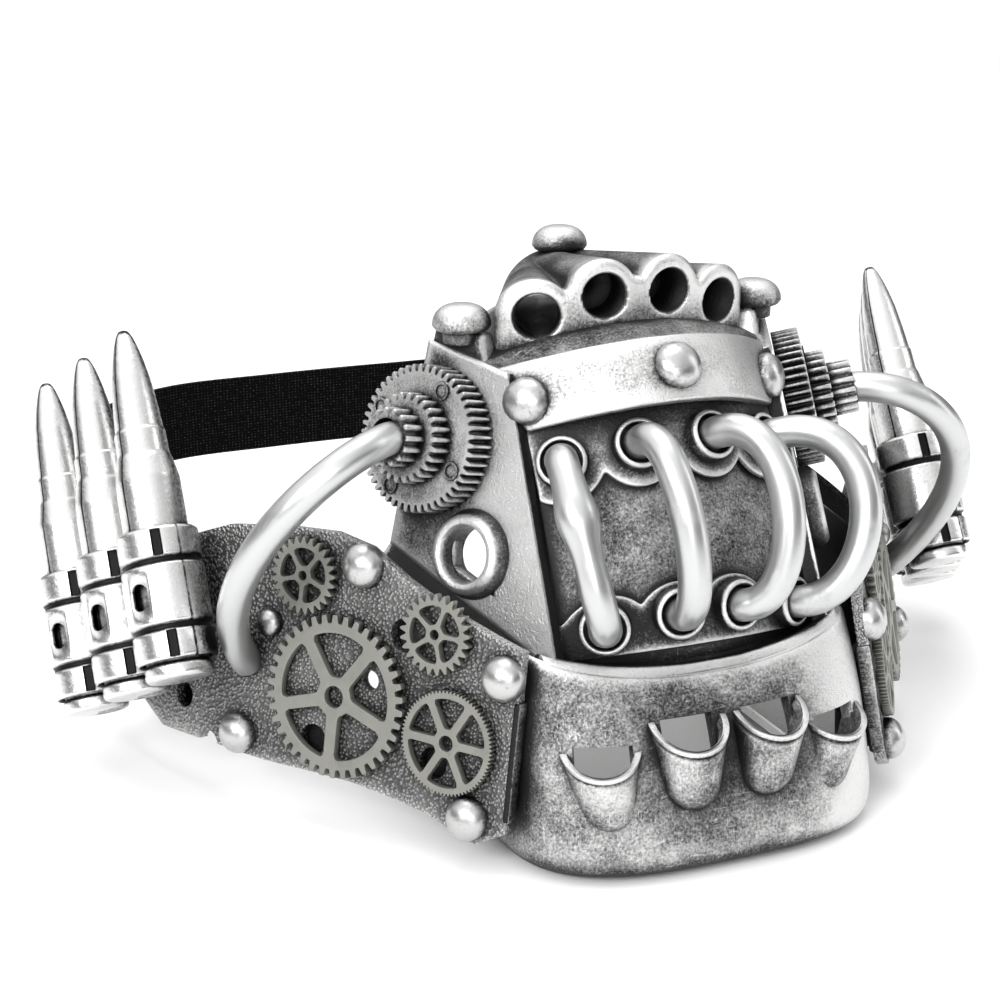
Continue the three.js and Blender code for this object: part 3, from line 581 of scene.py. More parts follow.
class Wire:
    """A socket in a shader expression; an operator on it adds a Math node."""

    def __init__(self, graph: NodeTree, socket: bpy.types.NodeSocket) -> None:
        """Wraps an output socket of a graph."""
        self.graph = graph
        self.socket = socket

    def maths(self, operation: str, a: Wire | float, b: Wire | float) -> Wire:
        """The result of one Math node, by Blender's name of the operation and two values."""
        node = self.graph.add("ShaderNodeMath", {"operation": operation}, {0: a, 1: b})
        return Wire(self.graph, node.outputs[0])

    def __add__(self, other: Wire | float) -> Wire:
        """Sum."""
        return self.maths("ADD", self, other)

    def __radd__(self, other: float) -> Wire:
        """Sum with a number on the left."""
        return self.maths("ADD", other, self)

    def __sub__(self, other: Wire | float) -> Wire:
        """Difference."""
        return self.maths("SUBTRACT", self, other)

    def __rsub__(self, other: float) -> Wire:
        """Difference with a number on the left."""
        return self.maths("SUBTRACT", other, self)

    def __mul__(self, other: Wire | float) -> Wire:
        """Product."""
        return self.maths("MULTIPLY", self, other)

    def __rmul__(self, other: float) -> Wire:
        """Product with a number on the left."""
        return self.maths("MULTIPLY", other, self)

    def wave(self, period: float) -> Wire:
        """A wave from 0 to 1 that repeats after a period."""
        turns = self * (2 * math.pi / period)
        return 0.5 + 0.5 * turns.maths("SINE", turns, 0.0)

    def between(self, low: float, high: float) -> Wire:
        """A smooth step from 0 at low to 1 at high."""
        node = self.graph.add(
            "ShaderNodeMapRange",
            {"interpolation_type": "SMOOTHSTEP"},
            {"Value": self, "From Min": low, "From Max": high},
        )
        return Wire(self.graph, node.outputs["Result"])


class NodeTree:
    """A node tree that adds nodes by type, settings and inputs."""

    def __init__(self, tree: bpy.types.NodeTree) -> None:
        """Wraps a tree."""
        self.tree = tree

    def add(
        self,
        kind: str,
        settings: dict[str, object] | None = None,
        inputs: dict[str | int, object] | None = None,
    ) -> bpy.types.Node:
        """Adds a node.

        Args:
            kind: The node's type.
            settings: Its own properties, set first.
            inputs: Values or wires for its sockets, by name or number.

        Returns:
            The node.
        """
        node = self.tree.nodes.new(kind)
        for key, value in (settings or {}).items():
            setattr(node, key, value)
        for key, value in (inputs or {}).items():
            self.feed(node.inputs[key], value)
        return node

    def feed(self, socket: bpy.types.NodeSocket, value: object) -> None:
        """Links a wire to a socket, or sets a plain value on it.

        Args:
            socket: The input.
            value: A wire or a plain value.
        """
        if isinstance(value, Wire):
            self.tree.links.new(value.socket, socket)
        else:
            socket.default_value = value

    def wire(self, node: bpy.types.Node, output: str | int = 0) -> Wire:
        """An output of a node as a wire."""
        return Wire(self, node.outputs[output])

    def parts(self, vector: Wire) -> tuple[Wire, Wire, Wire]:
        """The three numbers of a vector."""
        node = self.add("ShaderNodeSeparateXYZ", None, {0: vector})
        return self.wire(node, 0), self.wire(node, 1), self.wire(node, 2)

    def mix(self, share: Wire, low: Sequence[float] | Wire, high: Sequence[float] | Wire) -> Wire:
        """A colour between two, by a share.

        Args:
            share: The share.
            low: Colour at 0.
            high: Colour at 1.

        Returns:
            The mixed colour.
        """
        node = self.add("ShaderNodeMix", {"data_type": "RGBA"}, {0: share})
        for socket, value in ((node.inputs[6], low), (node.inputs[7], high)):
            self.feed(socket, value if isinstance(value, Wire) else (*value, 1.0))
        return self.wire(node, 2)


class Graph(NodeTree):
    """The node tree of one material, around a Principled shader."""

    def __init__(self, name: str) -> None:
        """Starts a material with its shader and nothing linked to it."""
        self.material = bpy.data.materials.new(name)
        self.material.use_nodes = True
        super().__init__(self.material.node_tree)
        self.shader = self.tree.nodes["Principled BSDF"]
        self.place = self.wire(self.add("ShaderNodeTexCoord"), "Object")

    def noise(
        self, scale: float, detail: float = 3.0, roughness: float = 0.5, place: Wire | None = None
    ) -> Wire:
        """Cloudy noise from 0 to 1; scale is features per metre, and detail counts octaves."""
        inputs = {"Vector": place or self.place, "Scale": scale, "Detail": detail, "Roughness": roughness}
        return self.wire(self.add("ShaderNodeTexNoise", None, inputs), 0)

    def cells(self, scale: float) -> Wire:
        """Distances to the nearest point of a field of cells; scale is cells per metre."""
        node = self.add("ShaderNodeTexVoronoi", None, {"Vector": self.place, "Scale": scale})
        return self.wire(node, "Distance")

    def scratches(self, stretch: Triple, turn: float) -> Wire:
        """Thin scratches: noise that is stretched one way and cut off at a level."""
        return self.noise(1.0, 2.0, 0.6, self.stretched(self.place, stretch, turn)).between(*SCRATCH_CUT)

    def run(self) -> Wire:
        """The piece's own coordinates along and across its run, in metres."""
        return self.wire(self.add("ShaderNodeUVMap", {"uv_map": "run"}))

    def stretched(self, source: Wire, scale: Triple, turn: float = 0.0) -> Wire:
        """Coordinates turned about their third axis, then stretched."""
        inputs = {"Vector": source, "Scale": scale, "Rotation": (0.0, 0.0, turn)}
        return self.wire(self.add("ShaderNodeMapping", None, inputs))

    def mark(self, name: str) -> Wire:
        """A mark stored on the piece's points."""
        return self.wire(self.add("ShaderNodeAttribute", {"attribute_name": name}), "Fac")

    def shelter(self, distance: float) -> Wire:
        """How open the surface is: 1 in the open, towards 0 in recesses, within a distance in mm; fed into a
        colour, it paints shade into recesses and between parts.
        """
        node = self.add("ShaderNodeAmbientOcclusion", {"samples": 4}, {"Distance": distance * METRE})
        return self.wire(node, "AO")

    def relief(self, height: Wire, depth: float) -> Wire:
        """A bump from a height of 0 to 1 that is depth millimetres tall."""
        return self.wire(self.add("ShaderNodeBump", None, {"Height": height, "Distance": depth * METRE}))

    def dress(self, **sockets: object) -> Material:
        """Feeds the shader's sockets, named with underscores for spaces, and returns the material."""
        for name, value in sockets.items():
            self.feed(self.shader.inputs[name.replace("_", " ")], value)
        return self.material


def grey(value: float, warm: float = 0.0) -> Triple:
    """A grey with a touch of warmth."""
    return (value * (1 + warm), value, value * (1 - warm))


@dataclass(frozen=True)
class AntiqueSilver:
    """Silver dry-brushed over black: a fine grain, recesses darkened by the black wash and by painted shade,
    bright rims and scratches.
    """

    name: str = "antique_silver"
    silver: float = 0.7
    wash: float = 0.012
    level: float = 1.66
    grain: float = 2100.0
    depth: float = 0.2
    gloss: float = 0.3
    reach: float = 6.0

    def material(self) -> Material:
        """Silver lies where grain, cloud, openness to ambient light and worn rims add up past a level; the
        occlusion paints shade into recesses on top of the black wash, and the wash-and-shade mark lowers or lifts
        the silver.

        Returns:
            The material.
        """
        g = Graph(self.name)
        cloud = g.noise(38.0, 4.0, 0.6)
        patch = g.noise(210.0, 4.0, 0.65)
        grain = g.noise(self.grain, 3.0, 0.7)
        # Ambient occlusion in the colour: painted shade in recesses and between parts, over the real black wash
        # there.
        occlusion_lit = g.shelter(self.reach)
        worn = g.mark("edge")
        scratched = g.scratches((170.0, 5200.0, 1500.0), 0.5) + g.scratches((4600.0, 1500.0, 210.0), -0.6)
        total = 0.6 * grain + 0.36 * patch + 0.6 * cloud + 0.85 * occlusion_lit + 0.7 * worn + 0.12 * scratched
        # The wash-and-shade mark: dark wash, painted shade and, below 0, painted light.
        cover = (total - g.mark("soot") - self.level).between(-0.19, 0.28)
        return g.dress(
            Base_Color=g.mix(cover, grey(self.wash), grey(self.silver, 0.004)),
            Metallic=0.5 + 0.36 * cover,
            Roughness=(self.gloss + 0.16) - 0.16 * cover + 0.2 * (grain - 0.5),
            Normal=g.relief(0.7 * grain + 0.3 * patch, self.depth),
        )


@dataclass(frozen=True)
class GrainedPlate:
    """A leather-grained moulding: dark in the grain's creases and rubbed silver on its tops."""

    name: str = "grained_plate"

    def material(self) -> Material:
        """Pebbles are smooth cell distances; silver lies on their tops, and more along the rims.

        Returns:
            The material.
        """
        g = Graph(self.name)
        pebble = g.cells(1500.0)
        fine = g.noise(3900.0, 2.0, 0.6)
        cloud = g.noise(52.0, 2.0, 0.5)
        # Ambient occlusion in the colour: painted shade in recesses and where the plate meets other parts.
        occlusion_lit = g.shelter(5.0)
        worn = g.mark("edge")
        height = 1.0 - pebble.between(0.15, 0.75)
        total = 0.3 * height + 0.3 * fine + 0.55 * cloud + 0.5 * occlusion_lit + 0.4 * worn
        cover = (total - 0.83).between(-0.15, 0.65)
        return g.dress(
            Base_Color=g.mix(cover, grey(0.012), grey(0.44, 0.006)),
            Metallic=0.5 + 0.4 * cover,
            Roughness=0.5 - 0.14 * cover,
            Normal=g.relief(height, 0.32),
        )


@dataclass(frozen=True)
class SatinTube:
    """Bent tube in satin silver with drawn streaks along its run and rubbed spots."""

    name: str = "satin_tube"

    def material(self) -> Material:
        """Streaks are noise stretched along the tube; scuffs are sparse blots.

        Returns:
            The material.
        """
        g = Graph(self.name)
        streak = g.noise(1.0, 3.0, 0.6, g.stretched(g.run(), (1100.0, 60.0, 1.0)))
        blot = g.noise(130.0, 5.0, 0.68)
        speck = g.noise(2100.0, 3.0, 0.65)
        # Ambient occlusion in the colour: painted shade where the tube runs close to other parts.
        occlusion_lit = g.shelter(5.0)
        scuff = blot.between(0.5, 0.68)
        tone = (0.26 + 0.3 * streak + 0.62 * occlusion_lit + 0.16 * speck - 0.5 * scuff * speck).between(0.2, 1.0)
        return g.dress(
            Base_Color=g.mix(tone, grey(0.025), grey(0.58, -0.006)),
            Metallic=0.93,
            Roughness=0.3 + 0.14 * scuff + 0.1 * streak,
            Normal=g.relief(0.5 * streak + 0.3 * blot + 0.2 * speck, 0.06),
        )


@dataclass(frozen=True)
class BrightSilver:
    """Bright metallised plastic with cloudy stains and painted shade where pieces meet."""

    name: str = "bright_silver"
    silver: float = 0.74
    level: float = 1.05
    gloss: float = 0.26

    def material(self) -> Material:
        """Stains are speckled clouds; painted shade darkens sheltered places, and the piece's own wash-and-shade
        mark darkens it further.

        Returns:
            The material.
        """
        g = Graph(self.name)
        cloud = g.noise(90.0, 5.0, 0.65)
        speck = g.noise(1500.0, 4.0, 0.72)
        ripple = g.noise(330.0, 2.0)
        # Ambient occlusion in the colour: painted shade where pieces meet.
        occlusion_lit = g.shelter(4.0)
        soot = g.mark("soot")
        total = 0.6 * cloud + 0.75 * speck + 0.75 * occlusion_lit - soot
        cover = (total - self.level).between(-0.1, 0.24)
        return g.dress(
            Base_Color=g.mix(cover, grey(0.015), grey(self.silver, 0.004)),
            Metallic=0.95,
            Roughness=(self.gloss + 0.22) - 0.22 * cover + 0.12 * (speck - 0.5),
            Normal=g.relief(0.6 * ripple + 0.4 * speck, 0.12),
        )


@dataclass(frozen=True)
class StampedMetal:
    """Thin stamped metal in a warm matt grey."""

    name: str = "flat_metal"

    def material(self) -> Material:
        """A slightly clouded grey, darker in corners as painted shade.

        Returns:
            The material.
        """
        g = Graph(self.name)
        cloud = g.noise(220.0, 4.0, 0.6)
        grit = g.noise(5200.0, 2.0)
        # Ambient occlusion in the colour: painted shade in the corners.
        occlusion_lit = g.shelter(1.6)
        tone = (0.5 * cloud + 0.7 * occlusion_lit - 0.22).between(0.0, 0.9)
        return g.dress(
            Base_Color=g.mix(tone, (0.07, 0.07, 0.064), (0.26, 0.259, 0.236)),
            Metallic=0.55,
            Roughness=0.46 + 0.14 * (grit - 0.5),
            Normal=g.relief(grit, 0.02),
        )


@dataclass(frozen=True)
class KnitElastic:
    """Black knitted elastic: ribs along its run and rows of light stitches."""

    name: str = "black_elastic"
    rib: float = 0.75
    stitch: float = 0.9

    def material(self) -> Material:
        """Ribs are a wave across the width; stitches are a wave along it that the ribs cut short.

        Returns:
            The material.
        """
        g = Graph(self.name)
        along, across, _ = g.parts(g.run())
        ribs = across.wave(self.rib * METRE)
        stitches = along.wave(self.stitch * METRE)
        fuzz = g.noise(1400.0, 3.0, 0.7)
        fleck = (ribs * stitches).between(0.55, 0.95) * fuzz.between(0.42, 0.62)
        return g.dress(
            Base_Color=g.mix(fleck, grey(0.002), grey(0.07)),
            Roughness=0.9 - 0.1 * fleck,
            Specular_IOR_Level=0.05,
            Normal=g.relief(0.6 * ribs + 0.4 * stitches, 0.2),
        )


@dataclass(frozen=True)
class PaleFloor:
    """The studio's white floor."""

    name: str = "studio_floor"

    def material(self) -> Material:
        """A white matt paper with the faintest tooth.

        Returns:
            The material.
        """
        g = Graph(self.name)
        tooth = g.noise(900.0, 2.0)
        return g.dress(
            Base_Color=g.mix(tooth, grey(0.97), grey(0.985)),
            Roughness=0.9,
            Specular_IOR_Level=0.05,
        )


@dataclass(frozen=True)
class WhitePaper:
    """The studio's backdrop, which shines evenly."""

    name: str = "studio_backdrop"

    def material(self) -> Material:
        """A white that gives its own light."""
        return Graph(self.name).dress(Emission_Color=(1.0, 1.0, 1.0, 1.0), Emission_Strength=1.0)


DARK_SILVER = AntiqueSilver("dark_silver", silver=0.62, wash=0.006, level=1.78)
RIVET_SILVER = BrightSilver("rivet_silver", silver=0.54, level=1.19, gloss=0.3)
TOWER_SILVER = AntiqueSilver(
    "tower_silver", silver=0.66, wash=0.004, level=1.64, grain=2700.0, depth=0.07, gloss=0.34, reach=1.8
)
CUP_LINING = AntiqueSilver(
    "cup_lining", silver=0.42, wash=0.2, level=1.2, grain=900.0, depth=0.02, gloss=0.5
)


@dataclass
class Finishes:
    """Every finish of the mask, made once."""

    antique: Material = field(default_factory=AntiqueSilver().material)
    dark: Material = field(default_factory=DARK_SILVER.material)
    tube: Material = field(default_factory=SatinTube().material)
    bright: Material = field(default_factory=BrightSilver().material)
    rivet: Material = field(default_factory=RIVET_SILVER.material)
    tower: Material = field(default_factory=TOWER_SILVER.material)
    lining: Material = field(default_factory=CUP_LINING.material)
    plate: Material = field(default_factory=GrainedPlate().material)
    gear: Material = field(default_factory=StampedMetal().material)
    elastic: Material = field(default_factory=KnitElastic().material)


@dataclass
class Bay:
    """The curved front that carries the tubes.

    Its middle profile is a quadratic curve in y and z. Away from the middle it sweeps back and
    droops with the square of x.
    """

    half: float = 28.0
    foot: Pair = (-90.4, -4.0)
    bend: Pair = (-92.6, 12.0)
    head: Pair = (-70.6, 44.0)
    sweep: Pair = (0.0135, 0.0105)
    droop: float = 0.0085

    def at(self, x: Array | float, t: Array | float) -> Array:
        """Points at a distance x from the middle and a share t of the height.

        Args:
            x: Distance from the middle.
            t: Share of the height.

        Returns:
            Points.
        """
        x, t = np.broadcast_arrays(np.asarray(x, float), np.asarray(t, float))
        weights = np.stack([(1 - t) ** 2, 2 * t * (1 - t), t**2], -1)
        middle = weights @ np.array([self.foot, self.bend, self.head])
        y = middle[..., 0] + lerp(self.sweep[0], self.sweep[1], t) * x**2
        z = middle[..., 1] - self.droop * x**2 * ease(t, 0, 0.25)
        return np.stack([x, y, z], -1)

    def surface(self, s: Array, t: Array) -> Array:
        """The bay by two shares, across and up."""
        return self.at(self.half * (2 * s - 1), t)

    def normal(self, x: float, t: float) -> Array:
        """Unit normal at a spot."""
        s = np.array((x / self.half + 1) / 2)
        return surface_normals(self.surface, s, np.array(float(t)))


def four_corners(corners: Sequence[Sequence[float]]) -> Surface:
    """A surface straight between four corners, from front to rear and from low to high.

    Args:
        corners: Low front and rear, then high front and rear.

    Returns:
        The surface.
    """
    front_low, rear_low, front_high, rear_high = np.asarray(corners, float)

    def surface(s: Array, t: Array) -> Array:
        """Two straight blends, one after the other.

        Args:
            s: Share to the rear.
            t: Share up.

        Returns:
            Points.
        """
        low = lerp(front_low, rear_low, s[..., None])
        high = lerp(front_high, rear_high, s[..., None])
        return lerp(low, high, t[..., None])

    return surface


@dataclass
class CheekFrame:
    """The right cheek plate's own frame: u back along it, v up it and w out of it."""

    corner: Triple = (43.6, -87.6, -26.3)
    yaw: float = 35.7
    tilt: float = 10.8
    face: float = -1.6
    thick: float = 2.0
    clearance: float = 0.5
    bend_from: float = 45.0
    bend: float = 0.0055

    @property
    def behind(self) -> float:
        """The depth just behind the plate, where other walls pass."""
        return self.face - self.thick - self.clearance

    @property
    def axes(self) -> Array:
        """The frame's three axes as columns.

        Returns:
            Three columns: u, v and w.
        """
        yaw, tilt = math.radians(self.yaw), math.radians(self.tilt)
        u = vec(math.sin(yaw), math.cos(yaw), 0)
        w = vec(math.cos(yaw) * math.cos(tilt), -math.sin(yaw) * math.cos(tilt), math.sin(tilt))
        return np.stack([u, np.cross(w, u), w], axis=1)

    def at(self, u: Array | float, v: Array | float, w: Array | float) -> Array:
        """Points of the plate; past a line it bends in with the square of the distance.

        Args:
            u: Distance back.
            v: Distance up.
            w: Distance out.

        Returns:
            Points about the datum.
        """
        u, v, w = np.broadcast_arrays(np.asarray(u, float), np.asarray(v, float), np.asarray(w, float))
        bent = w - self.bend * np.maximum(0, u - self.bend_from) ** 2
        return np.stack([u, v, bent], -1) @ self.axes.T + np.array(self.corner)


@dataclass
class Muzzle:
    """Bay, side panels, bridge, ears and skirts of the nose piece."""

    bay: Bay
    cheek: CheekFrame
    wall: float = 2.4
    panel_corners: tuple = ((27, -89.4, -2), (43.4, -51.7, 12.2), (26.4, -66, 45.4), (34.3, -48.7, 48.6))
    ear_corners: tuple = ((28, -61, 41), (35.6, -48.4, 41), (27.6, -57, 51.2), (33.2, -48.6, 51.2))
    ear_depth: float = 4.6
    port: Pair = (0.48, 0.22)
    port_hole: Pair = (0.128, 0.108)
    bridge_y: Pair = (-73.5, -25.0)
    bridge_half: Pair = (27.5, 31.0)
    bridge_sweep: Pair = (13.0, -23.0)
    bridge_fall: Pair = (6.8, 6.0)
    bridge_z: float = 50.3
    bridge_hump: float = 2.0
    rim_from: float = 0.7
    return_lap: float = 0.6
    skirt_u: Pair = (-5.5, 31.0)
    skirt_v: Pair = (14.0, 31.0)
    skirt_root: float = 0.04
    # Painted shade on the skirt behind the cheek plate's top edge.
    skirt_soot: float = 0.3
    # Painted light on the panel: lighter towards its front edge, nearly plain at the rear.
    panel_soot: Pair = (-0.6, 0.02)
    # Painted shade on the bay's sides, behind the panels' front edges.
    strip_soot: float = 0.9
    strip_from: Pair = (22.6, 24.4)

    def __post_init__(self) -> None:
        """Works out the panel's surface, which other pieces sit on."""
        self.panel = four_corners(self.panel_corners)

    def bridge(self, s: Array, t: Array) -> Array:
        """From the brow back to the face: a shallow arch whose ends sweep back, then forward.

        Args:
            s: Share across.
            t: Share back.

        Returns:
            Points.
        """
        k = 2 * s - 1
        height = self.bridge_z + self.bridge_hump * (ease(t, 0, 0.2) - ease(t, 0.4, 1))
        x = lerp(*self.bridge_half, t) * k
        y = lerp(*self.bridge_y, t) + lerp(*self.bridge_sweep, t) * k**2
        return np.stack([x, y, height - lerp(*self.bridge_fall, t) * k**2], -1)

    def skirt(self, s: Array, t: Array) -> Array:
        """Straight from the back of the cheek plate's top edge up to the panel's foot.

        Args:
            s: Share to the rear.
            t: Share up.

        Returns:
            Points.
        """
        low = self.cheek.at(lerp(*self.skirt_u, s), lerp(*self.skirt_v, s), self.cheek.behind)
        root = np.full(s.shape, self.skirt_root)
        high = self.panel(s, root) - self.wall / 2 * surface_normals(self.panel, s, root)
        return lerp(low, high, t[..., None])

    def cheek_return(self, s: Array, t: Array) -> Array:
        """The narrow wall from the bay to the back of the panel's front edge, then the edge's rim.

        Args:
            s: Share out of the bay.
            t: Share up.

        Returns:
            Points.
        """
        front = np.zeros(s.shape)
        edge = self.panel(front, t)
        back = edge - (self.wall + SEAT) * surface_normals(self.panel, front, t)
        root = self.bay.at(back[..., 0] - self.return_lap, t)
        side = np.minimum(s / self.rim_from, 1)[..., None]
        rim = np.maximum(s - self.rim_from, 0)[..., None] / (1 - self.rim_from)
        return lerp(root, back, side) + (edge - back) * rim

    def panel_spot(self, s: float, t: float) -> tuple[Array, Array]:
        """A point of the right panel and its normal."""
        at = (np.array(float(s)), np.array(float(t)))
        return self.panel(*at), surface_normals(self.panel, *at)

    def side_sheets(self) -> list[Shape]:
        """The panel, with a square left out under the port's flange, and its return to the bay.

        Both have the same rows, so that they join along the panel's front edge.

        Returns:
            The right panel and its return.
        """
        (s, t), (ds, dt) = self.port, self.port_hole
        columns = stations_with(45, s - ds, s + ds)
        rows = stations_with(50, t - dt, t + dt)
        inside = [np.abs(0.5 * (a[1:] + a[:-1]) - b) < d for a, b, d in ((columns, s, ds), (rows, t, dt))]
        panel = sheet(self.panel, columns, rows, ~(inside[1][:, None] & inside[0][None, :]), 1.2)
        across = even(11)
        groove = sheet(self.cheek_return, across, rows, None, 0.3)
        # Painted light: the panel is lighter towards its front edge.
        painted_light = np.tile(lerp(*self.panel_soot, ease(columns, 0.2, 0.95)), len(rows))
        shaded = np.tile(1.0 - 1.3 * ease(across, 0.85, 1), len(rows))
        return [panel.sooted(painted_light), groove.sooted(shaded)]

    def build(self, finishes: Finishes) -> None:
        """Makes the nose piece from its five kinds of wall.

        Args:
            finishes: The materials.
        """
        # Painted shade on the skirt.
        skirt = sheet(self.skirt, even(50), even(10), None, 0.8).sooted(self.skirt_soot)
        halves = [*self.side_sheets(), skirt]
        front = sheet(self.bay.surface, even(110), even(80), None, 0.8)
        whole = [
            # Painted shade on the bay's sides behind the panels.
            front.sooted(self.strip_soot * ease(np.abs(front.points[:, 0]), *self.strip_from)),
            sheet(self.bridge, even(90), even(60), None, 1.2),
        ]
        shape = Shape.joined([*whole, *halves, *(half.mirrored() for half in halves)])
        shell = make_object("nose_piece", shape, finishes.antique, self.wall)
        ear = wall(four_corners(self.ear_corners), 14, 14, 0, self.ear_depth, 0.5)
        ears = make_object("nose_ears", Shape.joined([ear, ear.mirrored()]), finishes.antique, 0, 0.9)
        settle(shell, Slot.ANTIQUE, "muzzle_shell")
        settle(ears, Slot.ANTIQUE)


@dataclass
class ChinCup:
    """The chin cup with four scoops, standing on its flat foot."""

    bay: Bay
    cheek: CheekFrame
    shoulder: float = -80.0
    rear: float = -38.0
    power: float = 2 / 3
    straight: float = 0.2
    rear_height: float = 0.42
    wall: float = 2.4
    levels: tuple = (
        (-36.0, 31.5, -100.5),
        (-35.1, 34.2, -104.2),
        (-32.4, 35.7, -106.0),
        (-26.0, 35.8, -105.0),
        (-13.0, 34.8, -100.3),
        (-2.4, 32.8, -95.0),
        (-0.6, 31.6, -93.6),
    )
    scoops: tuple = (
        (-22.2, -96.4, -13.0, -20),
        (-7.0, -99.3, -9.6, -6),
        (8.7, -99.3, -9.4, 6),
        (22.7, -96.4, -13.3, 20),
    )
    scoop_radius: Pair = (6.9, 4.9)
    scoop_height: float = 14.8
    scoop_lean: float = 0.17
    scoop_fan: Pair = (0.0095, -9.0)
    scoop_round: float = 0.28
    scoop_wall: float = 1.1
    scoop_wrap: float = 94.0
    scoop_half: float = 34.6
    # Painted light and shade on the cup: lighter low down, a little darker towards the rim.
    cup_soot: Pair = (-0.16, 0.03)
    lip_roll: float = 0.5
    lip_tilt: float = 23.0
    mouth_half: float = 4.9
    mouth_depth: float = 6.0
    sag: float = 3.2
    end_rise: float = 1.2
    flange_u: Pair = (-6.0, 41.0)
    flange_foot: float = 1.0
    flange_top: Pair = (20.0, 13.0)
    flange_root: Pair = (30.5, -90.6)
    # Painted shade on the step and the run behind the cheek plate.
    flange_soot: float = 0.4
    ledge_half: float = 29.0
    ledge_shares: tuple = (0.0, 0.14, 0.3, 0.55, 0.8, 1.0)
    ledge_rises: tuple = (0.0, 0.75, 0.7, -0.5, -1.3, -1.5)

    def plan(self, s: Array, half: Array, front: Array) -> tuple[Array, Array]:
        """One level in plan: straight sides, then a superellipse of exponent three round the front.

        Args:
            s: Share round the cup.
            half: Half width of the level.
            front: Its front.

        Returns:
            Places across and out of the face.
        """
        share = self.straight
        from_end = np.minimum(s, 1 - s) / share
        angle = np.pi * ((s - share) / (1 - 2 * share) - 0.5)
        turned_angle = np.clip(angle, -np.pi / 2, np.pi / 2)
        wide = np.sign(turned_angle) * np.abs(np.sin(turned_angle)) ** self.power
        deep = np.maximum(0, np.cos(turned_angle)) ** self.power
        side = lerp(self.rear, self.shoulder, from_end)
        return half * wide, np.where(from_end < 1, side, lerp(self.shoulder, front, deep))

    def surface(self, s: Array, t: Array) -> Array:
        """The cup's outside, from the foot up; behind the shoulders it falls away.

        Args:
            s: Share round the cup.
            t: Share up.

        Returns:
            Points.
        """
        levels = np.array(self.levels)
        z, half, front = np.moveaxis(spline(even(len(levels)), levels, np.clip(t, 0, 1)), -1, 0)
        x, y = self.plan(s, half, front)
        height = lerp(self.rear_height, 1, ease(-y, -self.rear, -self.shoulder))
        drop = self.rim_drop(x) * ease(t, 0.62, 1) * ease(-y, -self.shoulder, 6 - self.shoulder)
        return np.stack([x, y, levels[0, 0] + (z - levels[0, 0]) * height - drop], -1)

    def rim_drop(self, x: Array) -> Array:
        """How far the rim sags: most in the middle, and less than nothing at its ends."""
        return self.sag - (self.sag + self.end_rise) * (x / self.ledge_half) ** 2

    def level_at(self, z: float) -> float:
        """The share of the height at which the front stands at z."""
        t = even(400)
        return float(np.interp(z, self.surface(np.full(400, 0.5), t)[:, 2], t))

    def across_at(self, x: float) -> float:
        """The share round the cup at which the front stands at x, near the scoops' level."""
        angle = math.copysign(math.asin((abs(x) / self.scoop_half) ** (1 / self.power)), x)
        return self.straight + (1 - 2 * self.straight) * (angle / math.pi + 0.5)

    def cup_sheet(self) -> Shape:
        """The cup's wall with a mouth left out behind each scoop.

        Returns:
            The cup's outer sheet.
        """
        mouths = [
            (self.across_at(x - self.mouth_half), self.across_at(x + self.mouth_half),
             self.level_at(z - self.mouth_depth), self.level_at(z + 0.4))
            for x, _, z, _ in self.scoops
        ]
        columns = stations_with(150, *(edge for mouth in mouths for edge in mouth[:2]))
        rows = stations_with(70, *(edge for mouth in mouths[:2] for edge in mouth[2:]))
        middle_s = 0.5 * (columns[1:] + columns[:-1])
        middle_t = 0.5 * (rows[1:] + rows[:-1])
        keep = np.ones((len(middle_t), len(middle_s)), bool)
        for left, right, low, high in mouths:
            tall = (middle_t > low) & (middle_t < high)
            wide = (middle_s > left) & (middle_s < right)
            keep &= ~(tall[:, None] & wide)
        shape = sheet(self.surface, columns, rows, keep, 1.0)
        height = np.repeat(rows, len(columns))
        x = shape.points[:, 0]
        # Painted light and shade: lighter low down and darker towards the rim, and lighter at the cup's ends, the
        # right one more.
        painted_light = 0.08 * ease(-x, 18, 33) + 0.5 * ease(x, 12, 30)
        return shape.sooted(lerp(*self.cup_soot, ease(height, 0.2, 0.6)) - painted_light)

    def scoop_sheet(self, x: float, y: float, z: float, yaw: float) -> Shape:
        """A scoop: a half pipe that runs down into the cup's slope, its mouth cut at a slant.

        Args:
            x: Place of the mouth's middle across the cup.
            y: Place out of the face.
            z: Height.
            yaw: Turn of its front about the vertical, in degrees.

        Returns:
            The pipe's outer sheet.
        """
        turn = math.radians(yaw)
        out, side = vec(math.sin(turn), -math.cos(turn), 0), vec(math.cos(turn), math.sin(turn), 0)
        slant = math.tan(math.radians(self.lip_tilt))
        inward = vec(self.scoop_fan[0] * (x - self.scoop_fan[1]), 0, 0)

        def surface(s: Array, t: Array) -> Array:
            """Angle round the pipe by s, height from its foot by t; the lip falls with the front.

            Args:
                s: Share round the pipe.
                t: Share up.

            Returns:
                Points.
            """
            angle = math.radians(self.scoop_wrap) * (2 * s - 1)
            roll = ease(t, 0.9, 0.95) - 0.6 * ease(t, 0.86, 0.9)
            radius = lerp(*self.scoop_radius, 1 - t) + self.lip_roll * roll
            below = np.clip(1 - t / self.scoop_round, 0, 1)
            radius = radius * np.sqrt(1 - 0.92 * below**2)
            lip = -radius * np.cos(angle) * slant * ease(t, 0.2, 1)
            fall = (1 - t) * self.scoop_height
            flat = side * np.sin(angle)[..., None] + out * np.cos(angle)[..., None]
            lean = (self.scoop_lean * out - inward) * fall[..., None]
            return flat * radius[..., None] + lean + (lip - fall)[..., None] * vec(0, 0, 1) + vec(x, y, z)

        columns, rows = 44, 70
        shape = sheet(surface, even(columns), even(rows), None, 1.6)
        height = np.repeat(even(rows), columns)
        shape.marks["edge"] = 0.3 * ease(height, 0.92, 1)
        return shape.sooted(-0.08 * ease(height, 0.25, 0.6))

